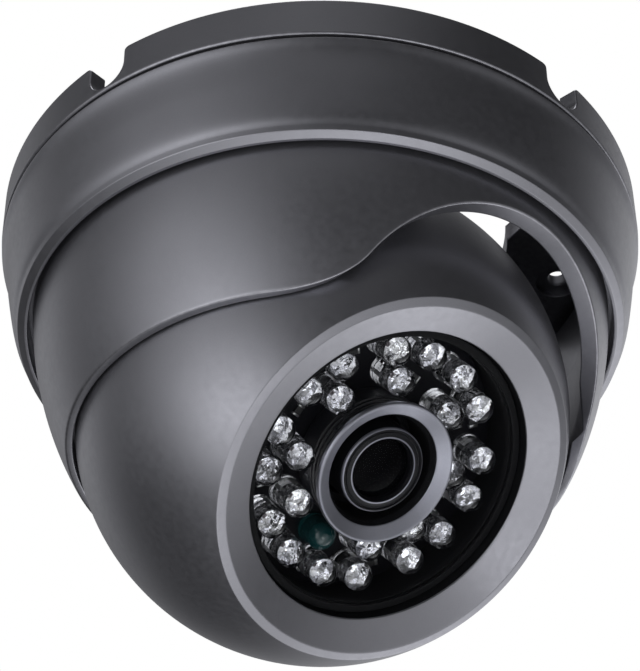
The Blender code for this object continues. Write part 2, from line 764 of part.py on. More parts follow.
def make_shell_screws(finish, parent):
    """Three screws that hold the ball's shells together, put in from behind."""
    seat = SHELL_SEAT - SHELL_SEAT_GAP
    profile = [
        (0.0, SHELL_SCREW_TIP),
        (SHELL_SHANK, SHELL_SCREW_TIP),
        (SHELL_SHANK, seat),
        (SHELL_HEAD, seat),
        (SHELL_HEAD, seat - SHELL_HEAD_HEIGHT),
        (0.0, seat - SHELL_HEAD_HEIGHT),
    ]
    for number, (x, y) in enumerate(shell_screw_places(), start=1):
        screw = turned(f"shell_screw_{number}", profile, 12, finish, parent)
        screw.location = (x, y, 0.0)


def make_seal(finish, parent):
    profile = arc(SEAL_RADIUS, BALL_SPLIT + SEAL_LIFT, SEAL_SECTION, 0.0, 300.0, 5)
    return turned("ball_seal", profile, BALL_STEPS, finish, parent)


def make_window(glass, rubber, parent):
    edge = WINDOW_RADIUS - GAP
    profile = [
        (0.0, WINDOW_FRONT),
        (edge - WINDOW_CHAMFER, WINDOW_FRONT),
        (edge, WINDOW_FRONT - WINDOW_CHAMFER),
        (edge, WINDOW_BACK),
        (0.0, WINDOW_BACK),
    ]
    turned("window_glass", profile, BALL_STEPS, glass, parent)
    gasket = [
        (edge, WINDOW_BACK - GAP),
        (edge, LEDGE_TOP + GAP),
        (LEDGE_INNER + GAP, LEDGE_TOP + GAP),
        (LEDGE_INNER + GAP, WINDOW_BACK - GAP),
    ]
    turned("window_gasket", gasket, BALL_STEPS, rubber, parent)


def lamp_profile(dome_centre):
    """A domed 5 mm lamp with a flange at its foot."""
    foot = BOARD_TOP + GAP
    profile = [
        (0.0, foot),
        (LED_FLANGE_RADIUS, foot),
        (LED_FLANGE_RADIUS, foot + LED_FLANGE),
        (LED_RADIUS, foot + LED_FLANGE),
    ]
    profile += arc(0.0, dome_centre, LED_RADIUS, 0.0, 60.0, 2)
    profile.append((0.0, dome_centre + LED_RADIUS))
    return profile


def led_places():
    places = []
    for quarter in range(4):
        for offset in LED_OUTER_OFFSETS:
            places.append((LED_OUTER_CIRCLE, 90.0 * quarter + offset))
    for angle in LED_INNER_ANGLES:
        places.append((LED_INNER_CIRCLE, angle))
    return places


def make_leds(finish, parent):
    shared = None
    for number, (circle, angle) in enumerate(led_places(), start=1):
        name = f"ir_led_{number:02d}"
        if shared is None:
            led = turned(name, lamp_profile(LED_DOME_CENTRE), LED_STEPS, finish, parent)
            shared = led.data
        else:
            led = bpy.data.objects.new(name, shared)
            bpy.context.scene.collection.objects.link(led)
            led.parent = parent
        turn = math.radians(angle)
        led.location = (circle * math.cos(turn), circle * math.sin(turn), 0.0)


def make_photo_sensor(finish, parent):
    sensor = turned("photo_sensor", lamp_profile(SENSOR_LAMP_DOME), LED_STEPS, finish, parent)
    turn = math.radians(SENSOR_LAMP_ANGLE)
    sensor.location = (SENSOR_LAMP_CIRCLE * math.cos(turn), SENSOR_LAMP_CIRCLE * math.sin(turn), 0.0)
    return sensor


def make_led_board(finish, parent):
    bottom = BOARD_TOP - BOARD_THICKNESS
    profile = [
        (LED_BOARD_RADIUS, BOARD_TOP),
        (LED_BOARD_RADIUS, bottom),
        (LED_BOARD_HOLE, bottom),
        (LED_BOARD_HOLE, BOARD_TOP),
    ]
    return turned("led_board", profile, 36, finish, parent)


def make_lens_hood(finish, parent):
    foot = BOARD_TOP + GAP
    profile = [
        (HOOD_BASE_OUTER, foot),
        (HOOD_BASE_OUTER, HOOD_SLOPE_FOOT),
        (HOOD_OUTER, HOOD_SLOPE_TOP),
        (HOOD_OUTER, HOOD_FRONT - HOOD_EDGE),
        (HOOD_OUTER - HOOD_EDGE, HOOD_FRONT),
        (HOOD_INNER + HOOD_FACE, HOOD_FRONT),
        (HOOD_INNER, HOOD_FRONT - HOOD_MOUTH),
        (HOOD_INNER, foot),
    ]
    return turned("lens_hood", profile, 32, finish, parent)


def make_lens(barrel_finish, glass, parent):
    profile = [
        (0.0, LENS_BACK),
        (LENS_THREAD_RADIUS, LENS_BACK),
        (LENS_THREAD_RADIUS, LENS_HEAD_BACK),
        (LENS_HEAD_RADIUS, LENS_HEAD_BACK),
        (LENS_HEAD_RADIUS, LENS_FRONT - LENS_CHAMFER),
        (LENS_HEAD_RADIUS - LENS_CHAMFER, LENS_FRONT),
        (LENS_POCKET_RADIUS + 2.0 * LENS_CHAMFER, LENS_FRONT),
        (LENS_POCKET_RADIUS, LENS_FRONT - LENS_CHAMFER),
        (LENS_POCKET_RADIUS, LENS_POCKET_FLOOR),
        (0.0, LENS_POCKET_FLOOR),
    ]
    turned("lens_barrel", profile, SMALL_STEPS, barrel_finish, parent)
    floor = LENS_POCKET_FLOOR + GAP
    element = [
        (0.0, floor),
        (ELEMENT_RADIUS, floor),
        (ELEMENT_RADIUS, floor + ELEMENT_EDGE),
    ]
    for share in (0.6, 0.0):
        rise = (ELEMENT_CROWN - ELEMENT_EDGE) * (1.0 - share**2)
        element.append((ELEMENT_RADIUS * share, floor + ELEMENT_EDGE + rise))
    turned("lens_front_glass", element, SMALL_STEPS, glass, parent)


def make_lock_ring(finish, parent):
    bore = LENS_THREAD_RADIUS + FIT
    profile = [
        (LOCK_RING_RADIUS, LOCK_RING_TOP),
        (LOCK_RING_RADIUS, LOCK_RING_BOTTOM),
        (bore, LOCK_RING_BOTTOM),
        (bore, LOCK_RING_TOP),
    ]
    return turned("lens_lock_ring", profile, SMALL_STEPS, finish, parent)


def make_lens_holder(finish, parent):
    foot = SENSOR_BOARD_TOP + GAP
    bore = LENS_THREAD_RADIUS + FIT
    profile = [
        (HOLDER_FOOT_RADIUS, foot),
        (HOLDER_FOOT_RADIUS, HOLDER_FOOT_TOP),
        (HOLDER_NECK_RADIUS, HOLDER_NECK),
        (HOLDER_RADIUS, HOLDER_TOP),
        (bore, HOLDER_TOP),
        (bore, HOLDER_BORE_FOOT),
        (CHAMBER_RADIUS, CHAMBER_TOP),
        (CHAMBER_RADIUS, foot),
    ]
    return turned("lens_holder", profile, SMALL_STEPS, finish, parent)


def square(half):
    return [(-half, -half), (half, -half), (half, half), (-half, half)]


def make_sensor_board(board_finish, chip_finish, parent):
    board = bmesh.new()
    bottom = SENSOR_BOARD_TOP - BOARD_THICKNESS
    add_prism(board, square(SENSOR_BOARD_HALF), bottom, SENSOR_BOARD_TOP, upright)
    finished_object("sensor_board", board, board_finish, parent)
    chip = bmesh.new()
    low = SENSOR_BOARD_TOP + GAP
    add_prism(chip, square(CHIP_HALF), low, low + CHIP_HEIGHT, upright)
    finished_object("image_sensor", chip, chip_finish, parent)


def make_standoffs(finish, parent):
    """Four hexagonal posts between the two boards."""
    low = SENSOR_BOARD_TOP + GAP
    high = BOARD_TOP - BOARD_THICKNESS - GAP
    for number in range(4):
        turn = math.radians(45.0 + 90.0 * number)
        bm = bmesh.new()
        add_prism(bm, arc(0.0, 0.0, STANDOFF_RADIUS, 0.0, 300.0, 5), low, high, upright)
        post = finished_object(f"board_standoff_{number + 1}", bm, finish, parent)
        post.location = (STANDOFF_CIRCLE * math.cos(turn), STANDOFF_CIRCLE * math.sin(turn), 0.0)


def make_hub_nut(finish, parent):
    top = HUB_BOTTOM - GAP
    bore = NECK_OUTER + FIT
    profile = [
        (HUB_NUT_RADIUS, top),
        (HUB_NUT_RADIUS, top - HUB_NUT_HEIGHT),
        (bore, top - HUB_NUT_HEIGHT),
        (bore, top),
    ]
    return turned("roll_hub_nut", profile, 36, finish, parent)


def make_cable(rubber, jacket, parent):
    inner_end = BALL_REAR_FLAT + BALL_WALL
    shoulder = NECK_END - GAP
    nose = shoulder - GROMMET_NOSE_LENGTH
    profile = [
        (GROMMET_TUBE, inner_end),
        (GROMMET_BORE, inner_end),
        (GROMMET_BORE, nose),
        (GROMMET_NOSE, nose),
        (GROMMET_FLANGE, shoulder - GROMMET_RIM),
        (GROMMET_FLANGE, shoulder),
        (GROMMET_TUBE, shoulder),
    ]
    turned("cable_grommet", profile, SMALL_STEPS, rubber, parent)
    stub = [
        (0.0, CABLE_START),
        (CABLE_RADIUS, CABLE_START),
        (CABLE_RADIUS, CABLE_END),
        (0.0, CABLE_END),
    ]
    turned("cable_stub", stub, 16, jacket, parent)


def axes(name):
    """An empty that other pieces are placed from."""
    made = bpy.data.objects.new(name, None)
    bpy.context.scene.collection.objects.link(made)
    return made


def main():
    clear_scene()
    painted = material("satin_gunmetal_paint", (0.075, 0.076, 0.082), 0.42, 0.35)
    black = material("black_plastic", (0.012, 0.012, 0.014), 0.45)
    rubber = material("black_rubber", (0.02, 0.02, 0.02), 0.8)
    steel = material("zinc_plated_steel", (0.6, 0.6, 0.62), 0.35, 1.0)
    glass = material("clear_glass", (0.9, 0.95, 1.0), 0.03)
    led = material("clear_led_resin", (0.75, 0.74, 0.85), 0.12)
    teal = material("photo_sensor_resin", (0.03, 0.16, 0.17), 0.2)
    board = material("black_circuit_board", (0.01, 0.012, 0.011), 0.5)
    chip = material("sensor_chip", (0.08, 0.08, 0.1), 0.2)
    anodised = material("black_anodised_lens", (0.015, 0.015, 0.018), 0.35, 0.5)
    hood = material("grey_hood_rubber", (0.2, 0.2, 0.24), 0.55)
    brass = material("brass_standoff", (0.6, 0.45, 0.2), 0.35, 1.0)

    ceiling = axes("ceiling_axes")
    ceiling.location = (0.0, 0.0, CEILING_Z)
    make_base(painted, ceiling)
    make_trim_ring(painted, ceiling)
    make_friction_ring(rubber, ceiling)
    make_shroud(painted, ceiling)
    make_pivot_pin("pivot_pin_left", -1.0, steel, ceiling)
    make_pivot_pin("pivot_pin_right", 1.0, steel, ceiling)

    # Local +Z is the optical axis, local +X is the tilt axis, and local +Y is up on the camera's face.
    ball = axes("ball_axes")
    ball.rotation_euler = (math.pi - BALL_TILT, 0.0, 0.0)

    make_cradle(steel, ball)
    make_front_shell(painted, ball)
    make_rear_shell(painted, ball)
    make_shell_screws(steel, ball)
    make_seal(rubber, ball)
    make_window(glass, rubber, ball)
    make_led_board(board, ball)
    make_leds(led, ball)
    make_photo_sensor(teal, ball)
    make_lens_hood(hood, ball)
    make_lens(anodised, glass, ball)
    make_lock_ring(anodised, ball)
    make_lens_holder(black, ball)
    make_sensor_board(board, chip, ball)
    make_standoffs(brass, ball)
    make_hub_nut(steel, ball)
    make_cable(rubber, black, ball)
    bpy.context.view_layer.update()


main()
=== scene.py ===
"""The dome CCTV camera's looks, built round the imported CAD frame.

Blender works in metres, +Z up, and the sizes here are in millimetres. The base, ring and shroud are drawn
from the ceiling face, and the ball's pieces from the ball's centre, along its optical axis.
"""

import json
from math import acos, asin, atan2, ceil, cos, degrees, hypot, pi, radians, sin, sqrt, tan

import bmesh
import bpy
import numpy as np
from mathutils import Matrix, Vector


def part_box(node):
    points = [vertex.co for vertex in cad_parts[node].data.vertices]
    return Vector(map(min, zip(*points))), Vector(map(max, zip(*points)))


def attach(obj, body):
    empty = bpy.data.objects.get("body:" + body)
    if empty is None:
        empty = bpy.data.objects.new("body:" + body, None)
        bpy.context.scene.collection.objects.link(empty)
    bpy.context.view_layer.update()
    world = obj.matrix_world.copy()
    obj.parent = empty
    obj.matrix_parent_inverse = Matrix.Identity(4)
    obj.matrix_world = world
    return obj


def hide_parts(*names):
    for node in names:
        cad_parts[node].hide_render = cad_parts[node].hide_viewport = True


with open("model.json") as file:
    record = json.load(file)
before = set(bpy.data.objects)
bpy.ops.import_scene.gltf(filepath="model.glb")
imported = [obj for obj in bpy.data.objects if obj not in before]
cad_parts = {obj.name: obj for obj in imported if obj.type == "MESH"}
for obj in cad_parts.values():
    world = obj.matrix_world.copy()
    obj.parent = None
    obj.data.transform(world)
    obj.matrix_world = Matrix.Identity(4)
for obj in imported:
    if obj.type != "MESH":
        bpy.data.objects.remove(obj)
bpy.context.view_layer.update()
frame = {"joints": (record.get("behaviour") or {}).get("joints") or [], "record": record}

MM = 0.001
RECORD = frame["record"]
BODY_OF = {node: body for body, nodes in RECORD["behaviour"]["bodies"].items() for node in nodes}
JOINTS = {joint["name"]: joint for joint in frame["joints"]}

# Main sizes, the same as the solids'.
BASE_RADIUS = 57.5
SPIGOT_RADIUS = 55.4
BALL_RADIUS = 42.5
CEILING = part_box("mounting_base")[1][2]
BALL_Z = (JOINTS["tilt"]["pos_m"][2] - CEILING) / MM
SHROUD_RIM = -50.9
SHROUD_WALL = 3.3
ARCH_HALF_WIDTH = 28.9
ARCH_HEIGHT = 21.4
ARCH_FLARE = 9.0
BOARD_TOP = 14.5

# The three bayonet lugs, and the stop that ends the pan.
LUG_AZIMUTHS = (21.3, 141.3, 261.3)
STOP_AZIMUTH = 1.7
STOP_HALF_ANGLE = 2.2

# Facets round a turned shape, and the fold from which an edge is drawn sharp.
TURN_STEPS = 288
BALL_STEPS = 256
RING_STEPS = 192
SHARP_ANGLE = 50.0


# -------- shapes

def ball_matrix():
    """The ball's own frame: +Z along the optical axis, +X along the tilt axis."""
    along = Vector(JOINTS["roll"]["axis"]).normalized()
    across = Vector((1.0, 0.0, 0.0))
    up = along.cross(across).normalized()
    matrix = Matrix((across, up, along)).transposed().to_4x4()
    matrix.translation = Vector(JOINTS["tilt"]["pos_m"])
    return matrix


BALL = ball_matrix()
WORLD = Matrix.Translation((0.0, 0.0, CEILING))


def rounded(points, steps=4):
    """A closed profile of (radius, height, fillet) corners, with an arc at each corner that has a fillet."""
    made = []
    for index, (r, z, fillet) in enumerate(points):
        corner = np.array((r, z), float)
        if fillet <= 0.0:
            made.append((r, z))
            continue
        before = np.array(points[index - 1][:2], float) - corner
        after = np.array(points[(index + 1) % len(points)][:2], float) - corner
        reach = 0.49 * min(np.linalg.norm(before), np.linalg.norm(after))
        before /= np.linalg.norm(before)
        after /= np.linalg.norm(after)
        half = acos(max(-1.0, min(1.0, float(before @ after)))) / 2.0
        if half > radians(88.0):
            made.append((r, z))
            continue
        setback = min(fillet / tan(half), reach)
        radius = setback * tan(half)
        middle = (before + after) / np.linalg.norm(before + after)
        centre = corner + middle * radius / sin(half)
        first = corner + before * setback - centre
        last = corner + after * setback - centre
        sweep = pi - 2.0 * half
        for step in range(steps + 1):
            share = step / steps
            spoke = first * sin((1.0 - share) * sweep) + last * sin(share * sweep)
            made.append(tuple(centre + spoke / sin(sweep)))
    return made


def refined(profile, guard=0.35, longest=2.5):
    """The same profile with guard points next to the ends of long runs, and no run longer than longest."""
    made = []
    for index, start in enumerate(profile):
        end = profile[(index + 1) % len(profile)]
        made.append(start)
        length = hypot(end[0] - start[0], end[1] - start[1])
        if length < 3.0 * guard or (start[0] < 1e-6 and end[0] < 1e-6):
            continue
        inner = max(1, ceil((length - 2.0 * guard) / longest))
        for step in range(inner + 1):
            share = (guard + (length - 2.0 * guard) * step / inner) / length
            made.append((start[0] + (end[0] - start[0]) * share, start[1] + (end[1] - start[1]) * share))
    return made


def on_circle(radius, start, end, steps, centre_r=0.0, centre_z=0.0):
    """Profile corners along an arc, angles in degrees from the radius direction."""
    corners = []
    for step in range(steps + 1):
        turn = radians(start + (end - start) * step / steps)
        corners.append((centre_r + radius * cos(turn), centre_z + radius * sin(turn), 0.0))
    return corners


def smooth_line(points, steps):
    """A Catmull-Rom curve through (radius, height) points, as corners without fillets."""
    padded = [2 * np.array(points[0]) - np.array(points[1])] + [np.array(p) for p in points]
    padded.append(2 * np.array(points[-1]) - np.array(points[-2]))
    corners = []
    for index in range(1, len(padded) - 2):
        a, b, c, d = padded[index - 1:index + 3]
        for step in range(steps):
            t = step / steps
            p = 0.5 * (2 * b + (c - a) * t + (2 * a - 5 * b + 4 * c - d) * t * t
                       + (3 * b - a - 3 * c + d) * t ** 3)
            corners.append((float(p[0]), float(p[1]), 0.0))
    corners.append((float(padded[-2][0]), float(padded[-2][1]), 0.0))
    return corners


def add_lathe(bm, profile, steps, centre=(0.0, 0.0), pick=None):
    """Turns a closed profile in millimetres about Z. pick(radius, height) gives a face's material index."""
    profile = refined(profile)
    rings = []
    for r, z in profile:
        if r < 1e-6:
            rings.append([bm.verts.new((centre[0] * MM, centre[1] * MM, z * MM))] * steps)
            continue
        ring = []
        for step in range(steps):
            turn = 2.0 * pi * step / steps
            x = centre[0] + r * cos(turn)
            y = centre[1] + r * sin(turn)
            ring.append(bm.verts.new((x * MM, y * MM, z * MM)))
        rings.append(ring)
    for index, here in enumerate(rings):
        after = (index + 1) % len(rings)
        there = rings[after]
        if here[0] is here[1] and there[0] is there[1]:
            continue
        slot = 0
        if pick is not None:
            (r0, z0), (r1, z1) = profile[index], profile[after]
            slot = pick((r0 + r1) / 2.0, (z0 + z1) / 2.0)
        for step in range(steps):
            nxt = (step + 1) % steps
            corners = []
            for vert in (here[step], here[nxt], there[nxt], there[step]):
                if vert not in corners:
                    corners.append(vert)
            if len(corners) > 2:
                bm.faces.new(corners).material_index = slot


def add_strip(bm, here, there, slot=0):
    """A band of faces between two closed rings of vertices."""
    for index in range(len(here)):
        after = (index + 1) % len(here)
        bm.faces.new((here[index], here[after], there[after], there[index])).material_index = slot


def add_loft(bm, rings, slot=0):
    """A closed body through rings of (x, y, z) points in millimetres, all with the same number of points."""
    made = [[bm.verts.new(Vector(p) * MM) for p in ring] for ring in rings]
    bm.faces.new(made[0]).material_index = slot
    bm.faces.new(made[-1]).material_index = slot
    for low, high in zip(made, made[1:]):
        add_strip(bm, low, high, slot)


def about_z(turn):
    return Matrix.Rotation(radians(turn), 3, "Z")


def add_block(bm, low, high, bevel, turn=0.0, slot=0):
    """A box with chamfered edges between two corners, in millimetres, turned about Z round the origin."""
    spin = about_z(turn)

    def ring(inset, z):
        x0, x1 = low[0] + inset, high[0] - inset
        y0, y1 = low[1] + inset, high[1] - inset
        b = bevel
        flat = [(x0 + b, y0), (x1 - b, y0), (x1, y0 + b), (x1, y1 - b),
                (x1 - b, y1), (x0 + b, y1), (x0, y1 - b), (x0, y0 + b)]
        return [spin @ Vector((x, y, z)) for x, y in flat]

    foot, top = low[2], high[2]
    levels = ((bevel, foot), (0.0, foot + bevel), (0.0, top - bevel), (bevel, top))
    add_loft(bm, [ring(inset, z) for inset, z in levels], slot)


def build(name, bm, matrix, materials, sharp=SHARP_ANGLE):
    """The finished mesh as an object, with its faces outward and its sharp edges marked."""
    bmesh.ops.recalc_face_normals(bm, faces=bm.faces)
    mesh = bpy.data.meshes.new(name)
    bm.to_mesh(mesh)
    bm.free()
    mesh.shade_smooth()
    mesh.set_sharp_from_angle(angle=radians(sharp))
    made = bpy.data.objects.new(name, mesh)
    for material in materials:
        mesh.materials.append(material)
    bpy.context.scene.collection.objects.link(made)
    made.matrix_world = matrix
    return made


def mark_edges(mesh):
    """Stores how sharply the surface folds outwards at each vertex, for the wear in the finishes."""
    if "edge" in mesh.attributes:
        return
    bm = bmesh.new()
    bm.from_mesh(mesh)
    sharp = bm.verts.layers.float.new("edge")
    for vert in bm.verts:
        fold = 0.0
        for edge in vert.link_edges:
            if len(edge.link_faces) == 2 and edge.is_convex:
                fold = max(fold, edge.calc_face_angle(0.0))
        vert[sharp] = min(1.0, max(0.0, (degrees(fold) - 4.0) / 8.0))
    bm.to_mesh(mesh)
    bm.free()


def turned(name, profile, steps, matrix, materials, pick=None, centre=(0.0, 0.0)):
    bm = bmesh.new()
    add_lathe(bm, profile, steps, centre, pick)
    return build(name, bm, matrix, materials)


def cut(target, cutters, operation="DIFFERENCE"):
    """Applies a Boolean with a throwaway mesh."""
    cutter = build("cutter", cutters, target.matrix_world.copy(), [])
    boolean = target.modifiers.new("boolean", "BOOLEAN")
    boolean.operation = operation
    boolean.solver = "EXACT"
    boolean.object = cutter
    bpy.context.view_layer.update()
    evaluated = target.evaluated_get(bpy.context.evaluated_depsgraph_get())
    mesh = bpy.data.meshes.new_from_object(evaluated)
    target.modifiers.clear()
    target.data = mesh
    mesh.shade_smooth()
    mesh.set_sharp_from_angle(angle=radians(SHARP_ANGLE))
    bpy.data.objects.remove(cutter, do_unlink=True)


OWN_AXES = {"black_anodised", "turned_brass", "clear_lamp_resin"}


def settle(obj):
    """Puts the mesh in the world's axes, unless its finish or its copies follow the piece's own axes."""
    if OWN_AXES.isdisjoint(material.name for material in obj.data.materials):
        obj.data.transform(obj.matrix_world)
        obj.matrix_world = Matrix()


def add_on(obj, node):
    """obj rides with a CAD node, with its shading weighted by face area."""
    settle(obj)
    mark_edges(obj.data)
    shading = obj.modifiers.new("shading", "WEIGHTED_NORMAL")
    shading.keep_sharp = True
    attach(obj, BODY_OF[node])


def stand_for(obj, node):
    """obj takes the place of a CAD node."""
    add_on(obj, node)
    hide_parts(node)


def turned_part(name, node, corners, steps, finish):
    """A part of the ball with one finish, turned from rounded corners."""
    stand_for(turned(name, rounded(corners), steps, BALL, [finish]), node)


def at_azimuth(radius, azimuth):
    """The (x, y) at a radius and an azimuth in degrees, from -Y towards +X."""
    turn = radians(azimuth)
    return (radius * sin(turn), -radius * cos(turn))


def at_angle(radius, angle):
    """The (x, y) at a radius and an angle in degrees, from +X towards +Y."""
    turn = radians(angle)
    return (radius * cos(turn), radius * sin(turn))


# -------- materials

# Noise scales in features per metre, the pitch of a lathe's marks, and the index of glass and of resin.
BROAD_GRAIN = 90.0
MIDDLE_GRAIN = 900.0
SMUDGE_GRAIN = 160.0
TURNING_PITCH = 0.16
GLASS_INDEX = 1.5


def add_node(tree, kind):
    return tree.nodes.new("ShaderNode" + kind)


def feed(socket, value):
    """Links an output to an input, or sets a number, a vector or a colour without its alpha."""
    if isinstance(value, bpy.types.NodeSocket):
        socket.id_data.links.new(value, socket)
    elif socket.type == "RGBA":
        socket.default_value = (*value, 1.0)
    else:
        socket.default_value = value


def put(node, **values):
    """Feeds a node's inputs by name, with an underscore for each space."""
    for name, value in values.items():
        feed(node.inputs[name.replace("_", " ")], value)


def maths(tree, operation, *values):
    node = add_node(tree, "Math")
    node.operation = operation
    for socket, value in zip(node.inputs, values):
        feed(socket, value)
    return node.outputs[0]


def spread(tree, value, reach, level):
    """Noise, which lies about 0.5, stretched by reach and moved to a level."""
    return maths(tree, "MULTIPLY_ADD", maths(tree, "SUBTRACT", value, 0.5), reach, level)


def noise(tree, place, scale, detail=3.0, roughness=0.5):
    node = add_node(tree, "TexNoise")
    put(node, Vector=place, Scale=scale, Detail=detail, Roughness=roughness)
    return node.outputs["Fac"]


def mixed(tree, share, first, second):
    node = add_node(tree, "Mix")
    node.data_type = "RGBA"
    for index, value in ((0, share), (6, first), (7, second)):
        feed(node.inputs[index], value)
    return node.outputs[2]


def new_finish(name):
    """A material with its node tree and its texture coordinates in the piece's own axes."""
    made = bpy.data.materials.new(name)
    made.use_nodes = True
    place = add_node(made.node_tree, "TexCoord").outputs["Object"]
    return made, made.node_tree, place


def add_bump(tree, height, relief, depth, shader):
    """Gives a shader a bumpy surface, depth in millimetres."""
    bump = add_node(tree, "Bump")
    put(bump, Strength=relief, Distance=depth * MM, Height=height)
    put(shader, Normal=bump.outputs["Normal"])


def mix_into(tree, share, first, second, output):
    """Sends two shaders, mixed by share, to the output node's surface."""
    mix = add_node(tree, "MixShader")
    for socket, value in zip(mix.inputs, (share, first.outputs[0], second.outputs[0])):
        feed(socket, value)
    put(tree.nodes[output], Surface=mix.outputs[0])


def surface(name, colour, roughness, metallic=0.0, grain=4000.0, depth=0.012, relief=0.25, variation=0.08,
            wear=0.0, worn=(0.5, 0.5, 0.52), specular=0.5, coat=0.0, turned_marks=0.0):
    """An opaque finish at real scale: fine grain, uneven colour and roughness, and worn edges."""
    made, tree, place = new_finish(name)
    shader = tree.nodes["Principled BSDF"]
    fine = noise(tree, place, grain, 2.0)
    broad = noise(tree, place, BROAD_GRAIN, 4.0)
    middle = noise(tree, place, MIDDLE_GRAIN)
    uneven = spread(tree, broad, variation * 2.0, 1.0)
    speckle = spread(tree, fine, variation * 1.5, 0.0)
    level = maths(tree, "ADD", uneven, speckle)
    scaled = add_node(tree, "VectorMath")
    scaled.operation = "SCALE"
    feed(scaled.inputs[0], colour)
    put(scaled, Scale=level)
    tint = scaled.outputs["Vector"]
    rough = spread(tree, middle, 0.16, roughness)
    if wear > 0.0:
        sharp = add_node(tree, "Attribute")
        sharp.attribute_name = "edge"
        patchy = maths(tree, "MULTIPLY", maths(tree, "SUBTRACT", middle, 0.42), 5.0)
        patchy = maths(tree, "MINIMUM", maths(tree, "MAXIMUM", patchy, 0.0), 1.0)
        edge = maths(tree, "MULTIPLY", maths(tree, "MULTIPLY", sharp.outputs["Fac"], patchy), wear)
        tint = mixed(tree, edge, tint, worn)
        rough = maths(tree, "MULTIPLY_ADD", edge, -0.15, rough)
    height = maths(tree, "MULTIPLY_ADD", middle, 0.6, fine)
    if turned_marks > 0.0:
        split = add_node(tree, "SeparateXYZ")
        put(split, Vector=place)
        x, y, z = split.outputs
        square = maths(tree, "ADD", maths(tree, "MULTIPLY", x, x), maths(tree, "MULTIPLY", y, y))
        along = maths(tree, "ADD", maths(tree, "SQRT", square), z)
        groove = maths(tree, "SINE", maths(tree, "MULTIPLY", along, 2.0 * pi / (TURNING_PITCH * MM)))
        height = maths(tree, "MULTIPLY_ADD", groove, turned_marks, height)
    add_bump(tree, height, relief, depth, shader)
    put(shader, Base_Color=tint, Roughness=rough, Metallic=metallic, Specular_IOR_Level=specular,
        Coat_Weight=coat, Coat_Roughness=0.1)
    return made


def clear_pane(name, tint, reflection, roughness):
    """A thin clear pane: see-through, with a faint reflection on the side that faces out."""
    made, tree, place = new_finish(name)
    tree.nodes.remove(tree.nodes["Principled BSDF"])
    through = add_node(tree, "BsdfTransparent")
    put(through, Color=tint)
    shine = add_node(tree, "BsdfGlossy")
    smudge = noise(tree, place, SMUDGE_GRAIN, 4.0)
    put(shine, Roughness=spread(tree, smudge, roughness, roughness))
    add_bump(tree, smudge, 0.05, 0.01, shine)
    fresnel = add_node(tree, "Fresnel")
    put(fresnel, IOR=GLASS_INDEX)
    behind = add_node(tree, "NewGeometry").outputs["Backfacing"]
    facing = maths(tree, "MULTIPLY_ADD", behind, -reflection, reflection)
    mix_into(tree, maths(tree, "MULTIPLY", fresnel.outputs[0], facing), through, shine, "Material Output")
    return made


def clear_resin(name, tint, roughness, ripple, scale):
    """Cast resin that light passes through: refracting for the eye, see-through for shadows."""
    made, tree, place = new_finish(name)
    tree.nodes.remove(tree.nodes["Principled BSDF"])
    resin = add_node(tree, "BsdfGlass")
    waves = noise(tree, place, scale, 3.0, 0.6)
    put(resin, IOR=GLASS_INDEX, Color=tint, Roughness=maths(tree, "MULTIPLY_ADD", waves, roughness, 0.0))
    add_bump(tree, waves, ripple, 0.3, resin)
    through = add_node(tree, "BsdfTransparent")
    put(through, Color=tint)
    shadow = add_node(tree, "LightPath").outputs["Is Shadow Ray"]
    mix_into(tree, shadow, resin, through, "Material Output")
    return made


PAINT = surface("gunmetal_powder_coat", (0.3, 0.3, 0.325), 0.36, 0.9, grain=5200.0, depth=0.02, relief=0.35,
                variation=0.08, wear=0.3, worn=(0.5, 0.5, 0.53))
# The paint inside the ball's shell: thin paint, made darker as painted shade for the hollow inside.
PAINT_INSIDE_SHADED = surface("gunmetal_inside", (0.055, 0.055, 0.06), 0.5, 0.4, grain=3000.0, variation=0.15)
BLACK = surface("black_moulding", (0.006, 0.006, 0.007), 0.6, grain=2600.0, depth=0.02, variation=0.2,
                specular=0.12)
RUBBER = surface("black_rubber", (0.018, 0.018, 0.018), 0.78, grain=2200.0, depth=0.03, variation=0.15,
                 specular=0.3)
HOOD = surface("grey_hood_lip", (0.36, 0.36, 0.41), 0.34, 0.85, grain=3200.0, depth=0.015, variation=0.08)
HOOD_SIDE = surface("hood_side_rubber", (0.012, 0.012, 0.015), 0.3, grain=3200.0, depth=0.015, variation=0.1)
STEEL = surface("zinc_plate", (0.62, 0.63, 0.65), 0.3, 1.0, grain=2400.0, depth=0.01, variation=0.1, wear=0.3,
                worn=(0.8, 0.8, 0.82))
BRASS = surface("turned_brass", (0.66, 0.47, 0.2), 0.3, 1.0, grain=2400.0, depth=0.01, variation=0.08,
                turned_marks=0.4)
BOARD = surface("black_solder_mask", (0.004, 0.004, 0.006), 0.5, grain=1800.0, depth=0.02, variation=0.2,
                specular=0.12)
PART = surface("part_body", (0.02, 0.02, 0.021), 0.5, grain=2000.0, variation=0.15)
SOLDER = surface("solder", (0.6, 0.6, 0.6), 0.32, 1.0, grain=1500.0, depth=0.03, variation=0.15)
CHIP = surface("sensor_lid", (0.07, 0.07, 0.1), 0.12, grain=1500.0, depth=0.004, variation=0.1, coat=0.6)
ANODISED = surface("black_anodised", (0.006, 0.006, 0.008), 0.36, grain=4000.0, depth=0.006, variation=0.15,
                   specular=0.25, turned_marks=0.6)
# Grey for the lens barrel's front edge rings: worn anodising, lightened as a painted highlight on those
# edges.
ANODISED_EDGE_HIGHLIGHT = surface("worn_anodised_edge", (0.3, 0.3, 0.35), 0.34, 0.7, grain=4000.0, depth=0.006,
                        variation=0.1)
JACKET = surface("vinyl_jacket", (0.02, 0.02, 0.021), 0.45, grain=1500.0, depth=0.03, variation=0.1)
CUP = surface("reflector_cup", (0.95, 0.95, 0.98), 0.14, 1.0, grain=1700.0, depth=0.15, relief=1.0,
              variation=0.35)
DIE = surface("emitter_die", (0.08, 0.07, 0.075), 0.3, 0.3, grain=3000.0, variation=0.1)
PANE = clear_pane("window_pane_glass", (0.98, 0.985, 0.985), 0.05, 0.02)
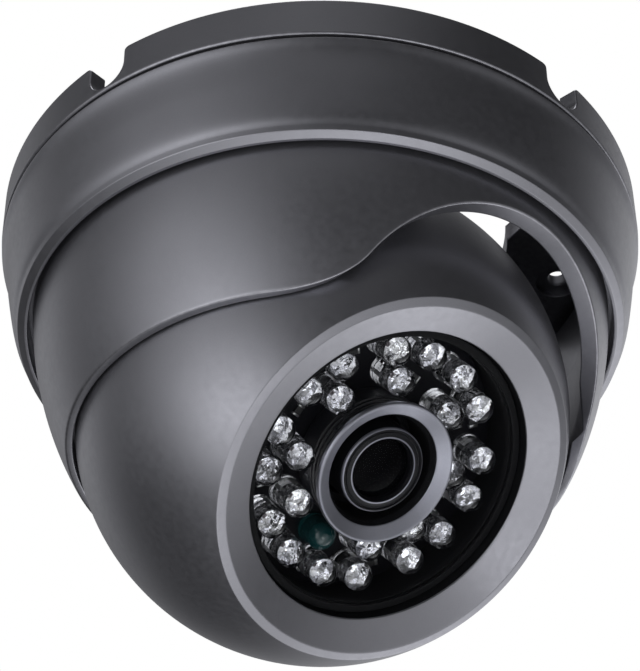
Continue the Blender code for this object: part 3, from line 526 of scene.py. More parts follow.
LENS = surface("coated_lens", (0.001, 0.001, 0.0015), 0.05, grain=300.0, depth=0.001, variation=0.05,
               specular=0.03)
RESIN = clear_resin("clear_lamp_resin", (0.99, 0.99, 1.0), 0.0, 0.12, 900.0)
TEAL = surface("teal_resin", (0.006, 0.04, 0.042), 0.2, grain=1800.0, depth=0.06, relief=0.5, variation=0.4,
               coat=0.4)


# -------- base

NOTCH_HALF = 3.75
NOTCH_CENTRE_Z = -3.3
NOTCH_CORNER = 0.9
NOTCH_ROUND = 0.35
NOTCH_AZIMUTHS = (-85.9, -1.3, 94.1, 178.7)


def notch_outline(grow):
    """A U with flared top corners as (across, height), grown outwards by an amount."""
    half = NOTCH_HALF + grow
    corner = NOTCH_CORNER - grow
    side = NOTCH_HALF + NOTCH_CORNER
    points = [(side, 1.5)]
    for x, z, radius, first, last, steps in ((side, -NOTCH_CORNER, corner, 90.0, 180.0, 5),
                                             (0.0, NOTCH_CENTRE_Z, half, 0.0, -180.0, 24),
                                             (-side, -NOTCH_CORNER, corner, 0.0, 90.0, 5)):
        points += [(c[0], c[1]) for c in on_circle(radius, first, last, steps, x, z)]
    points.append((-side, 1.5))
    return points


def add_notches(bm):
    stations = [(52.7, 0.0), (BASE_RADIUS - NOTCH_ROUND, 0.0)]
    for step in range(1, 5):
        turn = radians(90.0 * step / 4.0)
        stations.append((BASE_RADIUS - NOTCH_ROUND + NOTCH_ROUND * sin(turn),
                         NOTCH_ROUND * (1.0 - cos(turn))))
    stations.append((BASE_RADIUS + 0.4, NOTCH_ROUND + 0.3))
    for azimuth in NOTCH_AZIMUTHS:
        rings = []
        for radius, grow in stations:
            ring = []
            for across, height in notch_outline(grow):
                x, y = at_azimuth(radius, azimuth + degrees(across / BASE_RADIUS))
                ring.append((x, y, height))
            rings.append(ring)
        add_loft(bm, rings)


LAND_AZIMUTHS = (55.0, 145.0, 235.0, 325.0)
LAND_HALF_ANGLE = 22.0
LAND_INNER = 34.0
LAND_MIDDLE = 45.0
SCREW_CIRCLE = 45.2


def land_ring(azimuth, inset, z):
    """The outline of one mounting land at a height, drawn in by inset."""
    half = LAND_HALF_ANGLE - degrees(inset / LAND_MIDDLE)
    points = []
    for step in range(13):
        points.append((*at_azimuth(SPIGOT_RADIUS, azimuth - half + 2.0 * half * step / 12.0), z))
    corner = 37.5 + inset * 0.6
    points.append((*at_azimuth(corner, azimuth + half), z))
    inner_half = half - 6.0
    for step in range(13):
        turn = azimuth + inner_half - 2.0 * inner_half * step / 12.0
        points.append((*at_azimuth(LAND_INNER + inset, turn), z))
    points.append((*at_azimuth(corner, azimuth - half), z))
    return points


def sector_rings(inner, outer, azimuth, half, low, high, edge=0.2):
    """The rings of a lug: part of a flat ring, with small chamfers."""
    def ring(inset, z):
        steps = 16
        points = []
        reach = half - degrees(inset / outer)
        for radius, side in ((outer - inset, -1.0), (inner + inset, 1.0)):
            for step in range(steps + 1):
                turn = azimuth + side * (reach - 2.0 * reach * step / steps)
                points.append((*at_azimuth(radius, turn), z))
        return points

    return [ring(edge, low), ring(0.0, low + edge), ring(0.0, high - edge), ring(edge, high)]


def make_base():
    profile = rounded([
        (BASE_RADIUS, 0.0, 0.3), (BASE_RADIUS, -8.0, 0.45), (SPIGOT_RADIUS, -8.0, 0.0),
        (SPIGOT_RADIUS, -8.5, 0.15), (52.4, -8.5, 0.3), (52.4, -19.3, 0.3), (49.6, -19.3, 0.3),
        (49.6, -5.5, 0.3), (54.2, -5.5, 0.4), (54.2, 0.0, 0.3)], 5)
    base = turned("base_casting", profile, TURN_STEPS, WORLD, [PAINT])
    lands = bmesh.new()
    for azimuth in LAND_AZIMUTHS:
        add_loft(lands, [land_ring(azimuth, inset, z) for inset, z in ((0.3, -3.5), (0.0, -3.2), (0.0, 0.0))])
    cut(base, lands, "UNION")
    openings = bmesh.new()
    add_notches(openings)
    hole = [(0.0, -5.0), (4.3, -5.0), (4.3, -3.6), (4.0, -3.3), (4.0, -2.5), (2.0, -2.5), (1.8, -2.3),
            (1.8, -0.2), (2.0, 0.0), (2.0, 1.0), (0.0, 1.0)]
    for azimuth in LAND_AZIMUTHS:
        add_lathe(openings, hole, 48, at_azimuth(SCREW_CIRCLE, azimuth))
    cut(base, openings)
    lugs = bmesh.new()
    for azimuth in LUG_AZIMUTHS:
        add_loft(lugs, sector_rings(51.8, 54.2, azimuth, 15.0, -14.0, -12.0))
    add_loft(lugs, sector_rings(47.2, 50.2, STOP_AZIMUTH, STOP_HALF_ANGLE, -19.1, -16.2))
    bmesh.ops.recalc_face_normals(lugs, faces=lugs.faces)
    lugs.from_mesh(base.data)
    lugs.to_mesh(base.data)
    lugs.free()
    stand_for(base, "mounting_base")


# -------- trim ring

def make_trim_ring():
    face = smooth_line([(57.35, -9.1), (56.5, -11.5), (55.6, -17.3), (54.5, -23.0), (53.55, -25.2)], 8)
    profile = rounded(
        [(57.4, -8.8, 0.3), *face, (53.35, -26.0, 0.3), (52.1, -26.75, 0.3), (51.5, -26.75, 0.2),
         (51.5, -23.2, 0.2), (53.5, -23.2, 0.2), (53.5, -15.2, 0.0), (54.6, -14.4, 0.0),
         (54.6, -8.8, 0.25)], 8)
    ring = bmesh.new()
    add_lathe(ring, profile, TURN_STEPS)
    for azimuth in LUG_AZIMUTHS:
        add_loft(ring, sector_rings(52.8, 55.1, azimuth, 13.0, -11.7, -9.7))
    stand_for(build("trim_ring_cover", ring, WORLD, [PAINT]), "trim_ring")


def make_friction_ring():
    profile = rounded([(52.6, -19.6, 0.3), (52.6, -21.1, 0.3), (50.2, -21.1, 0.3), (50.2, -19.6, 0.3)])
    stand_for(turned("friction_ring", profile, RING_STEPS, WORLD, [RUBBER]), "pan_friction_ring")


# -------- shroud

SHROUD_CURVE = 69.6  # radius of the curved side, whose centre is past the axis
SHROUD_CURVE_R = -18.7
SHROUD_CURVE_Z = -19.5
RIM_ROUND = 0.4
RIM_STEPS = 220
LIP_GAP = 0.4  # between the ball and the lip that follows it
LIP_TOP = -47.8
LIP_BLEND = 0.6
CRADLE_ROOM = 44.45  # the least inner radius above the lip
FLANGE = ((47.6, -21.5), (47.7, -21.4), (52.8, -21.4), (53.0, -21.6), (53.0, -22.7), (52.8, -22.9),
          (51.2, -22.9))


def shroud_outer(z):
    return SHROUD_CURVE_R + sqrt(SHROUD_CURVE ** 2 - (z - SHROUD_CURVE_Z) ** 2)


def lip_radius(z):
    return sqrt(BALL_RADIUS ** 2 - (z - BALL_Z) ** 2) + LIP_GAP


def shroud_inner(z):
    if z < LIP_TOP:
        return lip_radius(z)
    if z < LIP_TOP + LIP_BLEND:
        share = (z - LIP_TOP) / LIP_BLEND
        return (1.0 - share) * lip_radius(LIP_TOP) + share * CRADLE_ROOM
    return max(CRADLE_ROOM, shroud_outer(z) - SHROUD_WALL)


def arch_half():
    """The arch's right half, top to foot, as (x, z, normal x, normal z), with the normal into the metal.

    It is an ellipse, then a round of radius ARCH_FLARE into the rim. The first loop finds where that starts.
    """
    low, high = 0.0, pi / 2.0
    for _ in range(60):
        middle = (low + high) / 2.0
        u, v = cos(middle) / ARCH_HALF_WIDTH, sin(middle) / ARCH_HEIGHT
        length = hypot(u, v)
        if ARCH_HEIGHT * sin(middle) + ARCH_FLARE * v / length < ARCH_FLARE:
            low = middle
        else:
            high = middle
    points = []
    for step in range(90):
        turn = pi / 2.0 + (low - pi / 2.0) * step / 89.0
        u, v = cos(turn) / ARCH_HALF_WIDTH, sin(turn) / ARCH_HEIGHT
        length = hypot(u, v)
        points.append((ARCH_HALF_WIDTH * cos(turn), SHROUD_RIM + ARCH_HEIGHT * sin(turn),
                       u / length, v / length))
    x, z, nx, nz = points[-1]
    centre_x, centre_z = x + nx * ARCH_FLARE, z + nz * ARCH_FLARE
    start = atan2(-nz, -nx) % (2.0 * pi)
    for step in range(1, 25):
        turn = start + (1.5 * pi - start) * step / 24.0
        c, s = cos(turn), sin(turn)
        points.append((centre_x + ARCH_FLARE * c, centre_z + ARCH_FLARE * s, -c, -s))
    return points


def curve(first, middle, last, steps):
    """A quadratic curve between two points, without its first point."""
    made = []
    for step in range(1, steps + 1):
        t = step / steps
        made.append((1 - t) ** 2 * first + 2 * t * (1 - t) * middle + t * t * last)
    return made


def make_shroud():
    """Columns of points, each down the outside from the flange, round the rim and up the inside."""
    half = arch_half()
    arch = [(-x, z, -nx, nz) for x, z, nx, nz in reversed(half[1:])] + half

    def front(x, z, radius):
        r = radius(z)
        return np.array((x, -sqrt(r * r - x * x), z))

    def around(azimuth, z, radius):
        r = radius(z)
        return np.array((r * sin(azimuth), -r * cos(azimuth), z))

    sides = []
    for radius in (shroud_outer, shroud_inner):
        edges, backs = [], []
        for x, z, nx, nz in arch:
            edges.append(front(x, z, radius))
            backs.append(front(x + nx * RIM_ROUND, z + nz * RIM_ROUND, radius))
        start = asin(arch[-1][0] / radius(SHROUD_RIM))
        for step in range(1, RIM_STEPS):
            azimuth = start + (2.0 * pi - 2.0 * start) * step / RIM_STEPS
            edges.append(around(azimuth, SHROUD_RIM, radius))
            backs.append(around(azimuth, SHROUD_RIM + RIM_ROUND, radius))
        sides += [edges, backs]

    outer_levels = [-22.95 - 27.95 * step / 40.0 for step in range(41)]
    inner_levels = [-23.0 - 20.4 * step / 22.0 for step in range(23)]
    inner_levels += [-44.6, -45.8, -46.6, -47.2, -47.4, -47.6, -47.8, -48.6, -49.4, -50.2, -50.9]
    bm = bmesh.new()
    columns = []
    for edge_out, back_out, edge_in, back_in in zip(*sides):
        turn_out = atan2(back_out[0], -back_out[1])
        turn_in = atan2(back_in[0], -back_in[1])
        across = edge_in - edge_out
        width = np.linalg.norm(across)
        reach = min(RIM_ROUND, 0.3 * width) / width
        points = [around(turn_out, max(z, back_out[2]), shroud_outer) for z in outer_levels]
        points[-1] = back_out
        points += curve(back_out, edge_out, edge_out + across * reach, 5)
        points += [edge_out + across * 0.5, edge_in - across * reach]
        points += curve(edge_in - across * reach, edge_in, back_in, 5)
        points += [around(turn_in, max(z, back_in[2]), shroud_inner) for z in reversed(inner_levels)]
        points += [np.array((r * sin(turn_out), -r * cos(turn_out), z)) for r, z in FLANGE]
        columns.append([bm.verts.new(p * MM) for p in points])
    for index, here in enumerate(columns):
        add_strip(bm, here, columns[(index + 1) % len(columns)])
    bmesh.ops.remove_doubles(bm, verts=bm.verts, dist=1e-7)
    bmesh.ops.dissolve_degenerate(bm, dist=1e-8, edges=bm.edges)
    add_loft(bm, sector_rings(47.2, 49.3, STOP_AZIMUTH + 180.0, STOP_HALF_ANGLE, -21.9, -17.2))
    stand_for(build("shroud_shell", bm, WORLD, [PAINT]), "dome_shroud")

    profile = rounded([(0.0, 42.8, 0.0), (1.5, 42.8, 0.25), (1.5, 46.1, 0.25), (0.0, 46.1, 0.0)])
    centre = Matrix.Translation(JOINTS["tilt"]["pos_m"])
    for side, node in ((-1.0, "pivot_pin_left"), (1.0, "pivot_pin_right")):
        turn = Matrix.Rotation(radians(90.0 * side), 4, "Y")
        stand_for(turned(node + "_turned", profile, 32, centre @ turn, [STEEL]), node)


# -------- ball

FRONT_INNER = 40.1  # radii and heights in the ball's own frame
REAR_OUTER = 41.8
REAR_INNER = 39.4
SPLIT_Z = -10.0
REAR_SPLIT_Z = -10.3
REAR_FLAT_Z = -33.0


def latitude(radius, z):
    """The angle in degrees at which a circle reaches a height."""
    return degrees(asin(z / radius))


def make_front_shell():
    profile = rounded(
        [(sqrt(BALL_RADIUS ** 2 - SPLIT_Z ** 2), SPLIT_Z, 0.0)]
        + on_circle(BALL_RADIUS, latitude(BALL_RADIUS, SPLIT_Z) + 0.4, latitude(BALL_RADIUS, 27.4), 60)
        + [(32.1, 27.88, 0.45), (30.6, 28.27, 0.5), (25.5, 25.85, 0.3), (25.5, 23.2, 0.1), (23.7, 23.2, 0.1),
           (23.7, 22.0, 0.1), (25.0, 22.0, 0.1), (25.0, 11.5, 0.2), (26.6, 11.5, 0.2), (26.6, 21.6, 0.5)]
        + on_circle(FRONT_INNER, latitude(FRONT_INNER, 24.0), latitude(FRONT_INNER, SPLIT_Z), 40)
        + [(39.35, SPLIT_Z, 0.0), (39.35, -9.0, 0.0), (40.65, -9.0, 0.0), (40.65, SPLIT_Z, 0.0)], 7)

    def finish_at(r, z):
        """Black down the well behind the window, and inside the shell a thin paint made darker as painted
        shade for the hollow.
        """
        if r < 25.6 and 11.0 < z < 25.6:
            return 1
        return 2 if z < 24.5 and hypot(r, z) < 41.0 else 0

    shell = turned("ball_front", profile, BALL_STEPS, BALL, [PAINT, BLACK, PAINT_INSIDE_SHADED], finish_at)
    stand_for(shell, "ball_front_shell")


SCREW_PLACES = [at_angle(36.0, angle) for angle in (90.0, 210.0, 330.0)]


def make_rear_shell():
    profile = rounded(
        [(sqrt(BALL_RADIUS ** 2 - REAR_SPLIT_Z ** 2) - 0.05, REAR_SPLIT_Z, 0.15)]
        + on_circle(REAR_OUTER, latitude(REAR_OUTER, -16.0), latitude(REAR_OUTER, REAR_FLAT_Z) + 1.0, 40)
        + [(sqrt(REAR_OUTER ** 2 - REAR_FLAT_Z ** 2), REAR_FLAT_Z, 0.6), (6.9, REAR_FLAT_Z, 0.3),
           (6.9, -37.6, 0.4), (4.6, -37.6, 0.3), (4.6, -30.6, 0.0)]
        + on_circle(REAR_INNER, latitude(REAR_INNER, -30.6), latitude(REAR_INNER, REAR_SPLIT_Z), 30), 5)
    shell = turned("ball_rear", profile, BALL_STEPS, BALL, [PAINT])
    bosses = bmesh.new()
    for x, y in SCREW_PLACES:
        boss = [(0.0, -24.5), (4.1, -24.5), (4.1, -10.35), (0.0, -10.35)]
        add_lathe(bosses, boss, 40, (x * 0.975, y * 0.975))
    room = bmesh.new()
    dome = [(c[0], c[1]) for c in on_circle(40.6, -15.0, -52.0, 30)]
    add_lathe(room, [(0.0, -10.0), (40.4, -10.0), *dome, (0.0, -32.0)], 160)
    trimmed = build("bosses", bosses, BALL, [])
    cut(trimmed, room, "INTERSECT")
    bosses = bmesh.new()
    bosses.from_mesh(trimmed.data)
    bpy.data.objects.remove(trimmed, do_unlink=True)
    cut(shell, bosses, "UNION")
    pockets = bmesh.new()
    pocket = rounded([(0.0, -45.0, 0.0), (2.9, -45.0, 0.0), (2.9, -13.0, 0.3), (1.35, -13.0, 0.1),
                      (1.35, -9.0, 0.0), (0.0, -9.0, 0.0)])
    for place in SCREW_PLACES:
        add_lathe(pockets, pocket, 40, place)
    cut(shell, pockets)
    stand_for(shell, "ball_rear_shell")

    turns = np.linspace(0, 2 * pi, 17)[:-1]
    ring = [(40.0 + 0.45 * cos(turn), -9.65 + 0.45 * sin(turn)) for turn in turns]
    stand_for(turned("ball_seal_ring", ring, RING_STEPS, BALL, [RUBBER]), "ball_seal")


def add_cross_recess(bm, radius, low, high, x, y):
    """The cutter for a cross drive: one cross-shaped outline that narrows from low to high."""
    thick = 0.22 * radius
    rings = []
    for reach, z in ((radius, low), (0.45 * radius, high)):
        ring = []
        for turn in (0.0, 90.0, 180.0, 270.0):
            spin = about_z(turn)
            for u, v in ((reach, -thick), (reach, thick), (thick, thick)):
                ring.append(spin @ Vector((u, v, 0.0)) + Vector((x, y, z)))
        rings.append(ring)
    add_loft(bm, rings)


def make_screws():
    profile = rounded([(0.0, 2.0, 0.0), (0.7, 2.0, 0.0), (1.2, 1.4, 0.0), (1.25, -13.15, 0.1),
                       (2.6, -13.15, 0.1), (2.6, -15.15, 0.5), (0.0, -15.15, 0.0)])
    for number, place in enumerate(SCREW_PLACES, start=1):
        screw = turned(f"shell_screw_{number}_turned", profile, 40, BALL, [STEEL], centre=place)
        recess = bmesh.new()
        add_cross_recess(recess, 1.5, -15.6, -14.0, *place)
        cut(screw, recess)
        stand_for(screw, f"shell_screw_{number}")


def make_window():
    front, back = 25.6, 24.4
    pane = [(0.0, front, 0.0), (25.2, front, 0.3), (25.2, back, 0.1), (0.0, back, 0.0)]
    turned_part("window_pane", "window_glass", pane, RING_STEPS, PANE)
    gasket = [(25.2, 24.1, 0.15), (25.2, 23.5, 0.15), (23.9, 23.5, 0.15), (23.9, 24.1, 0.15)]
    turned_part("window_seal", "window_gasket", gasket, RING_STEPS, BLACK)


# -------- lamps and boards

LAMP_PLACES = [at_angle(20.2, 90.0 * quarter + offset) for quarter in range(4)
               for offset in (-31.0, -11.0, 11.0, 31.0)]
LAMP_PLACES += [at_angle(14.9, angle) for angle in (-22.0, 22.0, 65.5, 114.5, 158.0, 202.0, 235.0, 305.0)]
LAMP_SPIN = 47.0  # degrees from one lamp to the next, so that no two look alike
LAMP_DOME_Z = 20.6
SENSOR_DOME_Z = 18.6
SENSOR_PLACE = at_angle(15.0, 272.0)
LEAD_HALF_PITCH = 1.27


def lamp_profile(dome):
    """A 5 mm lamp: its flange, its body and a dome centred at this height."""
    return rounded(
        [(0.0, 14.8, 0.0), (2.65, 14.8, 0.1), (2.65, 15.6, 0.15), (2.5, 15.75, 0.0)]
        + on_circle(2.5, 0.0, 86.0, 14, 0.0, dome) + [(0.0, dome + 2.5, 0.0)])


CUP_RINGS = ((0.6, 16.6), (1.3, 17.6), (1.5, 19.5), (1.45, 19.95), (1.2, 19.75), (0.95, 19.35), (0.65, 19.1),
             (0.35, 18.95))
CUP_SIDES = 11


def add_crumpled_cup(bm, x, y, number):
    """The lamp's bright reflector cup, with the uneven facets that make it sparkle."""
    draw = np.random.default_rng(number)
    rings = []
    for level, (radius, z) in enumerate(CUP_RINGS):
        uneven = 0.03 if level < 3 else 0.11
        ring = []
        for side in range(CUP_SIDES):
            turn = 2.0 * pi * (side + 0.5 * (level % 2)) / CUP_SIDES
            reach = radius + draw.uniform(-uneven, uneven)
            height = z + draw.uniform(-uneven, uneven)
            ring.append((x + reach * cos(turn), y + reach * sin(turn), height))
        rings.append(ring)
    add_loft(bm, rings)


def make_lamps():
    shared = turned("lamp_01", lamp_profile(LAMP_DOME_Z), 40, BALL, [RESIN])
    cups, dies, legs = bmesh.new(), bmesh.new(), bmesh.new()
    for number, (x, y) in enumerate(LAMP_PLACES, start=1):
        lamp = shared
        if number > 1:
            lamp = bpy.data.objects.new(f"lamp_{number:02d}", shared.data)
            bpy.context.scene.collection.objects.link(lamp)
        spin = Matrix.Rotation(radians(LAMP_SPIN * number), 4, "Z")
        lamp.matrix_world = BALL @ Matrix.Translation((x * MM, y * MM, 0.0)) @ spin
        stand_for(lamp, f"ir_led_{number:02d}")
        add_crumpled_cup(cups, x, y, number)
        add_block(dies, (x - 0.2, y - 0.2, 18.9), (x + 0.2, y + 0.2, 19.2), 0.04)
        for side in (-1.0, 1.0):
            lead = Vector((x, y, 0.0)) + spin.to_3x3() @ Vector((LEAD_HALF_PITCH * side, 0.0, 0.0))
            add_block(legs, (lead.x - 0.25, lead.y - 0.25, 14.45), (lead.x + 0.25, lead.y + 0.25, 17.3), 0.05)
    add_on(build("lamp_reflectors", cups, BALL, [CUP], 1.0), "ir_led_01")
    add_on(build("lamp_dies", dies, BALL, [DIE]), "ir_led_01")
    add_on(build("lamp_legs", legs, BALL, [SOLDER]), "ir_led_01")
    sensor = turned("photo_sensor_lamp", lamp_profile(SENSOR_DOME_Z), 40, BALL, [TEAL], centre=SENSOR_PLACE)
    stand_for(sensor, "photo_sensor")


def add_chip(bm, x, y, width, length, height, turn):
    """A small part with two metal ends, centred at (x, y) on the lamp board."""
    spin = about_z(turn)
    for low, high, slot in ((-0.5, -0.32, 1), (-0.34, 0.34, 0), (0.32, 0.5, 1)):
        grow = 0.02 if slot else 0.0
        z = BOARD_TOP + height + grow

        def ring(inset, level):
            u0, u1 = length * low + inset, length * high - inset
            v = width / 2 + grow - inset
            return [spin @ Vector((*corner, 0.0)) + Vector((x, y, level))
                    for corner in ((u0, -v), (u1, -v), (u1, v), (u0, v))]

        add_loft(bm, [ring(0.0, BOARD_TOP - 0.02), ring(0.0, z - 0.08), ring(0.08, z)], slot)


CORNERS = (45.0, 135.0, 225.0, 315.0)


def make_boards():
    sheet = [(24.6, BOARD_TOP, 0.1), (24.6, 12.9, 0.1), (8.2, 12.9, 0.1), (8.2, BOARD_TOP, 0.1)]
    turned_part("lamp_board", "led_board", sheet, RING_STEPS, BOARD)

    parts = bmesh.new()
    for angle in CORNERS:
        add_chip(parts, *at_angle(21.4, angle), 1.6, 3.2, 0.6, angle + 90.0)
        add_chip(parts, *at_angle(18.6, angle), 1.3, 2.0, 0.5, angle + 90.0)
    for angle in (0.0, 90.0, 180.0):
        add_chip(parts, *at_angle(15.2, angle), 1.3, 2.0, 0.5, angle + 90.0)
    add_on(build("lamp_board_parts", parts, BALL, [PART, SOLDER]), "led_board")

    board = bmesh.new()
    add_block(board, (-19.0, -19.0, -6.1), (19.0, 19.0, -4.5), 0.12)
    stand_for(build("sensor_board_sheet", board, BALL, [BOARD]), "sensor_board")
    parts = bmesh.new()
    for x, y, w, h in ((0.0, 0.0, 7.0, 7.0), (-11.5, 8.0, 4.0, 5.0), (11.5, -9.0, 5.0, 4.0)):
        add_block(parts, (x - w / 2, y - h / 2, -7.1), (x + w / 2, y + h / 2, -6.12), 0.12)
    for index in range(7):
        x = -9.0 + 3.0 * index
        add_block(parts, (x - 0.4, -14.5, -6.6), (x + 0.4, -12.9, -6.12), 0.06, slot=1)
    add_block(parts, (9.0, 8.0, -9.4), (17.0, 13.0, -6.12), 0.25)
    add_on(build("sensor_board_parts", parts, BALL, [PART, SOLDER]), "sensor_board")
    chip = bmesh.new()
    add_block(chip, (-5.0, -5.0, -4.2), (5.0, 5.0, -2.7), 0.15)
    stand_for(build("sensor_chip", chip, BALL, [CHIP]), "image_sensor")

    for number, angle in enumerate(CORNERS, start=1):
        x, y = at_angle(17.5, angle)
        post = bmesh.new()
        rings = []
        for radius, z in ((1.75, -4.2), (2.0, -3.9), (2.0, 12.3), (1.75, 12.6)):
            corners = [at_angle(radius, 60.0 * side) for side in range(6)]
            rings.append([(x + u, y + v, z) for u, v in corners])
        add_loft(post, rings)
        node = f"board_standoff_{number}"
        stand_for(build(node + "_hex", post, BALL, [BRASS], 20.0), node)


# -------- lens

def hood_ribs():
    """Three shallow grooves round the hood, under its lip."""
    corners = []
    for number in range(3):
        z = 18.9 + 1.1 * number
        corners += [(11.6, z, 0.1), (11.25, z + 0.15, 0.1), (11.25, z + 0.45, 0.1), (11.6, z + 0.6, 0.1)]
    return corners


def make_lens():
    hood = rounded([
        (11.6, 14.8, 0.2),
        *hood_ribs(),
        (11.6, 22.3, 0.1), (12.1, 22.75, 0.1), (12.5, 23.3, 0.2), (12.5, 23.85, 0.2), (12.3, 24.1, 0.15),
        (12.0, 24.1, 0.15), (10.0, 22.9, 0.3), (9.4, 21.6, 0.1), (9.4, 14.8, 0.2)], 5)

    def hood_finish(r, z):
        """Black down the inside, dark rubber round the outside and a grey lip."""
        if r < 9.95 and z < 22.85:
            return 1
        return 2 if r > 11.2 and z < 23.3 else 0

    stand_for(turned("hood", hood, 160, BALL, [HOOD, BLACK, HOOD_SIDE], hood_finish), "lens_hood")

    barrel = rounded([
        (0.0, 3.0, 0.0), (5.85, 3.0, 0.2), (5.85, 14.0, 0.0), (7.5, 14.0, 0.2), (7.5, 22.55, 0.0),
        (7.25, 22.8, 0.0), (7.05, 22.8, 0.0), (6.95, 22.55, 0.0), (6.75, 22.55, 0.0), (6.65, 22.7, 0.0),
        (6.15, 22.7, 0.0), (5.95, 22.85, 0.0), (5.7, 22.85, 0.0), (5.45, 22.3, 0.1), (5.45, 20.9, 0.1),
        (0.0, 20.9, 0.0)], 3)

    # The outer and pocket edge rings on the barrel's front get the grey finish: a painted highlight, with
    # worn anodising.
    def painted_highlight_edges(r, z):
        return 1 if z >= 22.3 and (r > 7.2 or 5.65 < r < 6.0) else 0

    body = turned("lens_barrel_turned", barrel, 128, BALL, [ANODISED, ANODISED_EDGE_HIGHLIGHT], painted_highlight_edges)
    stand_for(body, "lens_barrel")
    dome = [(0.0, 21.2), (5.25, 21.2), (5.25, 21.45)]
    for step in range(1, 21):
        share = step / 20.0
        dome.append((5.25 * (1.0 - share), 21.45 + 0.85 * (1.0 - (1.0 - share) ** 2)))
    stand_for(turned("lens_front_element", dome, 96, BALL, [LENS]), "lens_front_glass")
    lock = [(7.8, 11.4, 0.2), (7.8, 9.4, 0.2), (5.95, 9.4, 0.1), (5.95, 11.4, 0.1)]
    turned_part("lens_lock", "lens_lock_ring", lock, 72, ANODISED)
    holder = [(10.0, -4.2, 0.2), (10.0, -2.2, 0.3), (8.6, -1.4, 0.3), (8.0, 9.0, 0.3), (5.95, 9.0, 0.1),
              (5.95, 2.0, 0.0), (7.5, 0.4, 0.0), (7.5, -4.2, 0.2)]
    turned_part("lens_mount", "lens_holder", holder, 72, BLACK)


# -------- mechanism and cable

STRAP_OUTER, STRAP_INNER = 43.85, 42.85
HUB_OUTER_Z, HUB_INNER_Z = -34.9, -33.4
STRAP_HALF_WIDTH = 4.0
STRAP_BEVEL = 0.25


def add_across(bm, profile, steps, turn):
    """A turned shape laid along the tilt axis."""
    add_lathe(bm, profile, steps)
    bmesh.ops.rotate(bm, verts=bm.verts, cent=(0, 0, 0), matrix=Matrix.Rotation(radians(turn), 3, "Y"))


def make_cradle():
    """A strap with a flat middle for the hub and a round tab at each pivot."""
    outer_flat = latitude(STRAP_OUTER, HUB_OUTER_Z)
    inner_flat = latitude(STRAP_INNER, HUB_INNER_Z)
    outside = on_circle(STRAP_OUTER, 0.0, outer_flat, 40)
    outside += on_circle(STRAP_OUTER, 180.0 - outer_flat, 180.0, 40)
    inside = on_circle(STRAP_INNER, 180.0, 180.0 - inner_flat, 40)
    inside += on_circle(STRAP_INNER, inner_flat, 0.0, 40)
    line = np.array(outside + inside)[:, :2]
    into = np.array([-1.0] * len(outside) + [1.0] * len(inside))

    def ring(y, inset):
        moved = line * (1.0 + into * inset / np.hypot(line[:, 0], line[:, 1]))[:, None]
        return [(x, y, z) for x, z in moved]

    side = STRAP_HALF_WIDTH
    strap = bmesh.new()
    add_loft(strap, [ring(-side, STRAP_BEVEL), ring(-side + STRAP_BEVEL, 0.0),
                     ring(side - STRAP_BEVEL, 0.0), ring(side, STRAP_BEVEL)])
    cradle = build("cradle_strap", strap, BALL, [STEEL])
    hub = bmesh.new()
    add_lathe(hub, rounded([(0.0, HUB_OUTER_Z, 0.0), (11.0, HUB_OUTER_Z, 0.3), (11.0, HUB_INNER_Z, 0.3),
                            (0.0, HUB_INNER_Z, 0.0)]), 96)
    cut(cradle, hub, "UNION")
    pad = rounded([(0.0, 42.9, 0.0), (4.3, 42.9, 0.2), (4.3, 43.9, 0.2), (0.0, 43.9, 0.0)])
    for turn in (-90.0, 90.0):
        tab = bmesh.new()
        add_across(tab, pad, 48, turn)
        cut(cradle, tab, "UNION")
    neck_hole = bmesh.new()
    add_lathe(neck_hole, [(0.0, -36.0), (7.0, -36.0), (7.0, -32.0), (0.0, -32.0)], 96)
    pin_holes = bmesh.new()
    add_across(pin_holes, [(0.0, -46.0), (1.6, -46.0), (1.6, 46.0), (0.0, 46.0)], 32, 90.0)
    cut(cradle, neck_hole)
    cut(cradle, pin_holes)
    stand_for(cradle, "tilt_cradle")


def make_hub():
    nut = rounded([(10.0, -35.2, 0.3), (10.0, -37.2, 0.4), (7.0, -37.2, 0.2), (7.0, -35.2, 0.2)])
    made = turned("hub_nut", nut, 120, BALL, [STEEL])
    slots = bmesh.new()
    for number in range(6):
        add_block(slots, (8.8, -1.0, -38.5), (11.5, 1.0, -34.0), 0.1, 60.0 * number)
    cut(made, slots)
    stand_for(made, "roll_hub_nut")

    grommet = [(4.45, -30.6, 0.1), (2.6, -30.6, 0.1), (2.6, -39.4, 0.1), (3.6, -39.4, 0.4), (6.2, -38.8, 0.3),
               (6.2, -37.9, 0.2), (4.45, -37.9, 0.1)]
    turned_part("cable_gland", "cable_grommet", grommet, 72, RUBBER)
    cable = [(0.0, -20.0, 0.0), (2.4, -20.0, 0.2), (2.4, -41.0, 0.2), (0.0, -41.0, 0.0)]
    turned_part("cable_end", "cable_stub", cable, 48, JACKET)


# -------- studio

def lobe(tree, direction, towards, sharpness, strength):
    """A soft round light in one direction of the sky."""
    dot = add_node(tree, "VectorMath")
    dot.operation = "DOT_PRODUCT"
    feed(dot.inputs[0], direction)
    feed(dot.inputs[1], Vector(towards).normalized())
    facing = maths(tree, "MAXIMUM", dot.outputs["Value"], 0.0)
    return maths(tree, "MULTIPLY", maths(tree, "POWER", facing, sharpness), strength)


